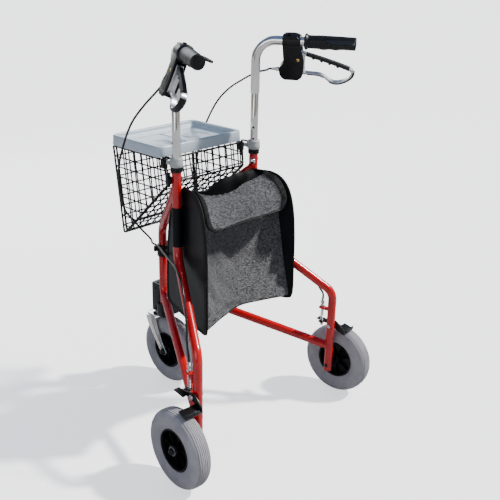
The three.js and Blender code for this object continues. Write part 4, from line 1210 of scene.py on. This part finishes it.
def sheet_half(y):
    """Half width of the cloth between the panels, at a world y, in metres."""
    post = SIDE @ Vector((0, POST_U, 0))
    return post.x + math.tan(PANEL_ANGLE) * (y - post.y) - 16.4 * MM / math.cos(PANEL_ANGLE)


def outline_point(share, edge):
    place = (share % 1.0) * len(edge)
    i = int(place)
    return edge[i % len(edge)].lerp(edge[(i + 1) % len(edge)], place - i)


def cloth_strip(first, last, along, across, offset):
    """A grid that follows the bag's outline between two points; offset gives its inward push in metres."""
    edge = bag_edge(360)
    post = SIDE @ Vector((0, POST_U, 0))
    lean = math.cos(PANEL_ANGLE)
    keys = [min(range(len(edge)), key=lambda i: (edge[i] - mm(0, d, z)).length) for d, z in (first, last)]
    count = (keys[1] - keys[0]) % len(edge)
    grid = []
    for i in range(along + 1):
        t = i / along
        share = (keys[0] + count * t) / len(edge)
        p = outline_point(share, edge)
        q = outline_point(share + 0.002, edge)
        run = (q - p).normalized()
        inward = Vector((0, -run.z, run.y))
        if inward.dot(mm(0, 20, 460) - p) < 0:
            inward = -inward
        row = []
        for k in range(across + 1):
            s = 2 * k / across - 1
            w = p + inward * offset(t, s)
            y = post.y + w.y * lean
            row.append(Vector((s * sheet_half(y), y, w.z)))
        grid.append(row)
    return grid


def skin(grid, thick):
    """Turns a grid of points into a thin closed sheet."""
    rows, cols = len(grid), len(grid[0])
    verts, faces = [], []
    for side in (0, 1):
        for i in range(rows):
            for k in range(cols):
                a = grid[min(i + 1, rows - 1)][k] - grid[max(i - 1, 0)][k]
                b = grid[i][min(k + 1, cols - 1)] - grid[i][max(k - 1, 0)]
                normal = a.cross(b).normalized()
                verts.append(grid[i][k] + normal * thick * side)
    size = rows * cols
    for i in range(rows - 1):
        for k in range(cols - 1):
            a = i * cols + k
            faces.append((a, a + 1, a + cols + 1, a + cols))
            faces.append((a + size, a + cols + size, a + cols + 1 + size, a + 1 + size))
    border = [k for k in range(cols)] + [i * cols + cols - 1 for i in range(1, rows)]
    border += [(rows - 1) * cols + k for k in range(cols - 2, -1, -1)]
    border += [i * cols for i in range(rows - 2, 0, -1)]
    for a, b in zip(border, border[1:] + border[:1]):
        faces.append((a, a + size, b + size, b))
    return cleaned(Shape(verts, faces))


def cubic(values, place):
    """A smooth curve through evenly spaced values; place runs from 0 to 1."""
    x = min(max(place, 0), 1) * (len(values) - 1)
    i = min(int(x), len(values) - 2)
    f = x - i
    p1, p2 = values[i], values[i + 1]
    p0 = values[i - 1] if i else 2 * p1 - p2
    p3 = values[i + 2] if i + 2 < len(values) else 2 * p2 - p1
    return p1 + 0.5 * f * (p2 - p0 + f * (2 * p0 - 5 * p1 + 4 * p2 - p3 + f * (3 * (p1 - p2) + p3 - p0)))


def table_push(table, along, across):
    return cubic([cubic(row, (across + 1) / 2) for row in table], along) * MM


def settle(shape, pinned, frames, grow, stiffness, gravity):
    """An open sheet after a cloth simulation; pinned is a list of vertex numbers."""
    mesh = bpy.data.meshes.new("cloth_start")
    mesh.from_pydata([tuple(v) for v in shape.verts], [], shape.faces)
    cloth_object = bpy.data.objects.new("cloth_start", mesh)
    bpy.context.collection.objects.link(cloth_object)
    group = cloth_object.vertex_groups.new(name="pins")
    group.add(pinned, 1.0, "REPLACE")
    modifier = cloth_object.modifiers.new("cloth", "CLOTH")
    settings = modifier.settings
    settings.quality, settings.mass = 8, 0.4
    settings.tension_stiffness = settings.compression_stiffness = 40
    settings.shear_stiffness = 20
    settings.bending_stiffness = stiffness
    settings.air_damping = 4
    settings.vertex_group_mass = "pins"
    settings.shrink_min = -grow
    settings.effector_weights.gravity = gravity
    modifier.collision_settings.use_collision = False
    scene = bpy.context.scene
    for step in range(1, frames + 1):
        scene.frame_set(step)
    settled = cloth_object.evaluated_get(bpy.context.evaluated_depsgraph_get()).to_mesh()
    verts = [v.co.copy() for v in settled.vertices]
    scene.frame_set(1)
    bpy.data.objects.remove(cloth_object)
    return Shape(verts, shape.faces)


def settled_grid(grid, frames=24, grow=0.05, stiffness=6.0, gravity=0.3, cap=7 * MM):
    """The sheet after a short cloth simulation, in which no point moves further than cap."""
    rows, cols = len(grid), len(grid[0])
    faces = []
    for i in range(rows - 1):
        for k in range(cols - 1):
            a = i * cols + k
            faces.append((a, a + 1, a + cols + 1, a + cols))
    places = [(i, k) for i in range(rows) for k in range(cols)]
    edge = [i * cols + k for i, k in places if i in (0, rows - 1) or k in (0, cols - 1)]
    start = [p for row in grid for p in row]
    done = settle(Shape(start, faces), edge, frames, grow, stiffness, gravity)
    moved = []
    for old, new in zip(start, done.verts):
        step = new - old
        moved.append(old + step * min(1, cap / max(step.length, 1e-6)))
    return [moved[i * cols:(i + 1) * cols] for i in range(rows)]


def rear_push(t, s):
    """A hollow drawn in to one deep point, with a fold from it to each corner of the wall."""
    middle_t, middle_s = REAR_CENTRE
    out_t = (t - middle_t) / (1 - middle_t) if t > middle_t else (middle_t - t) / middle_t
    out_s = (s - middle_s) / (1 - middle_s) if s > middle_s else (middle_s - s) / (1 + middle_s)
    out = max(out_t, out_s, 0.001)
    edge_t = min(max(middle_t + (t - middle_t) / out, 0), 1)
    edge_s = min(max(middle_s + (s - middle_s) / out, -1), 1)
    if out_s >= out_t:
        edge = cubic(REAR_SIDE, edge_t)
    else:
        edge = cubic(REAR_TOP if t > middle_t else REAR_LOW, (edge_s + 1) / 2)
    ripple = noise.noise(Vector((s * 2.3, t * 2.9, 0.4))) * 6
    ripple += noise.noise(Vector((s * 6, t * 7, 2.4))) * 2.5
    keep = (1 - abs(2 * t - 1) ** 6) * (1 - s ** 6)
    return (edge + (REAR_DEEPEST - edge) * (1 - min(out, 1)) + ripple * keep) * MM


def top_push(t, s):
    return table_push(TOP_PUSH, t, s) + noise.noise(Vector((s * 3, t * 3, 7.7))) * 0.004 * (1 - s ** 4)


def flap_push(t, s):
    ripple = noise.noise(Vector((s * 2.7, t * 3.1, 6.4))) * 0.005
    ripple += noise.noise(Vector((s * 7, t * 6, 1.4))) * 0.0012
    return table_push(FLAP_PUSH, t, s) + ripple * (1 - s ** 4) * (1 - 0.6 * t)


def front_push(t, s):
    return table_push(FRONT_PUSH, t, s)


def bag_bottom(rear, front):
    """Joins the lower edges of the front and rear walls, which both have the same number of columns."""
    rows = []
    for i in range(19):
        f = i / 18
        row = []
        for a, b in zip(front, rear):
            p = a.lerp(b, f)
            row.append(Vector((p.x, p.y, p.z - 0.004 * math.sin(math.pi * f))))
        rows.append(row)
    return rows


def flap_grid():
    """The flap over the dome, a little narrower than the bag, with two rounded corners at its hem."""
    grid = cloth_strip((119, 546), (52, 630), 64, 72, lambda t, s: flap_push(1 - t, s))[::-1]
    result = []
    for i, row in enumerate(grid):
        t = i / (len(grid) - 1)
        left = max(t * FLAP_LENGTH - (FLAP_LENGTH - FLAP_CORNER), 0) / FLAP_CORNER
        cut = (1 - math.sqrt(max(1 - left ** 2, 0))) * FLAP_CORNER
        half = row[-1].x
        scale = (half * 0.945 - cut) / half
        result.append([Vector((p.x * scale, p.y, p.z)) for p in row])
    return result


def offset_line(grid, inset_rows, inset_cols, lift):
    """A line inside the edge of a sheet: down one side, across the hem and up the other side."""
    rows, cols = len(grid), len(grid[0])
    last = rows - 1 - inset_rows
    line = [grid[i][inset_cols] for i in range(1, last)]
    line += [grid[last][k] for k in range(inset_cols, cols - inset_cols)]
    line += [grid[i][cols - 1 - inset_cols] for i in range(last, 0, -1)]
    middle = Vector((0, 0.02, 0.5))
    return [p + (p - middle).normalized() * lift for p in line]


def stitches(line, length, gap, radius):
    """Short threads along a line."""
    parts = []
    start, walked = line[0], 0.0
    for a, b in zip(line, line[1:]):
        walked += (b - a).length
        if walked >= length and start is not None:
            parts.append(sweep([start, start.lerp(b, 0.5), b], [radius * 0.6, radius, radius * 0.6], 6))
            start, walked = None, 0.0
        elif start is None and walked >= gap:
            start, walked = b, 0.0
    return joined(parts)


def band(grid, thick):
    """A tape on the outside of a sheet, where the sheet has the grid's points."""
    row, col = len(grid) // 2, len(grid[0]) // 2
    along = grid[row][col] - grid[row - 1][col]
    across = grid[row][col] - grid[row][col - 1]
    outward = along.cross(across).dot(grid[row][col] - Vector((0, 0.02, 0.5))) > 0
    return skin(grid, thick if outward else -thick)


def soft(name, grid, thick, body, look, nodes=()):
    """A cloth piece."""
    made = piece(name, skin(grid, thick), body, look, nodes, 70)
    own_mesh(made)
    return made


def trim(name, shape, body, look):
    made = piece(name, shape, body, look)
    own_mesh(made)


def make_bag_cloth():
    rear = settled_grid(cloth_strip((123, 308), (104, 594), 72, 64, rear_push), 16, 0.02, 3.0)
    front = cloth_strip((6, 629), (-88, 308), 40, 64, front_push)
    top = cloth_strip((60, 629), (6, 629), 24, 48, lambda t, s: top_push(1 - t, s))
    soft("bag_rear", rear, 1.6 * MM, "bag", leatherette(),
         ["bag_body"])
    soft("bag_front", front, 1.6 * MM, "bag", lining())
    soft("bag_bottom", bag_bottom(rear[0], front[-1]), 1.6 * MM, "bag", vinyl())
    soft("bag_top", top, 1.6 * MM, "bag", lining())
    hem = sweep([p + Vector((0, 0, 0.0006)) for p in rear[0]], 1.9 * MM, 12)
    trim("bag_rear_hem", hem, "bag", binding())
    flap = settled_grid(flap_grid(), 14, 0.03, 2.0)
    soft("bag_flap", flap, 2.2 * MM, "bag_flap", leatherette(),
         ["bag_flap"])
    edge = offset_line(flap, 0, 0, 0.0008)
    bands = [band([row[:4] for row in flap], 3.2 * MM), band([row[-4:] for row in flap], 3.2 * MM),
             band(flap[-3:], 3 * MM)]
    piping = joined([sweep(edge, 2.3 * MM, 12)] + bands)
    trim("bag_flap_piping", piping, "bag_flap", binding())
    rows = [offset_line(flap, 5, 4, 0.0024), offset_line(flap, 6, 5, 0.0024)]
    threads = joined([stitches(smooth_path(line[::4], 260), 3 * MM, 1.4 * MM, 0.5 * MM) for line in rows])
    trim("bag_flap_stitches", threads, "bag_flap", thread())


# ---------------------------------------------------------------- build
make_camera()
make_cables()
make_stage()
make_light()
make_frame_tubes()
make_collars()
make_knobs()
make_wheels()
make_caster()
make_brakes()
make_handle_tubes()
make_lever_housing()
make_lever()
make_grips()
make_basket()
make_tray()
make_bag_sides()
make_bag_cloth()
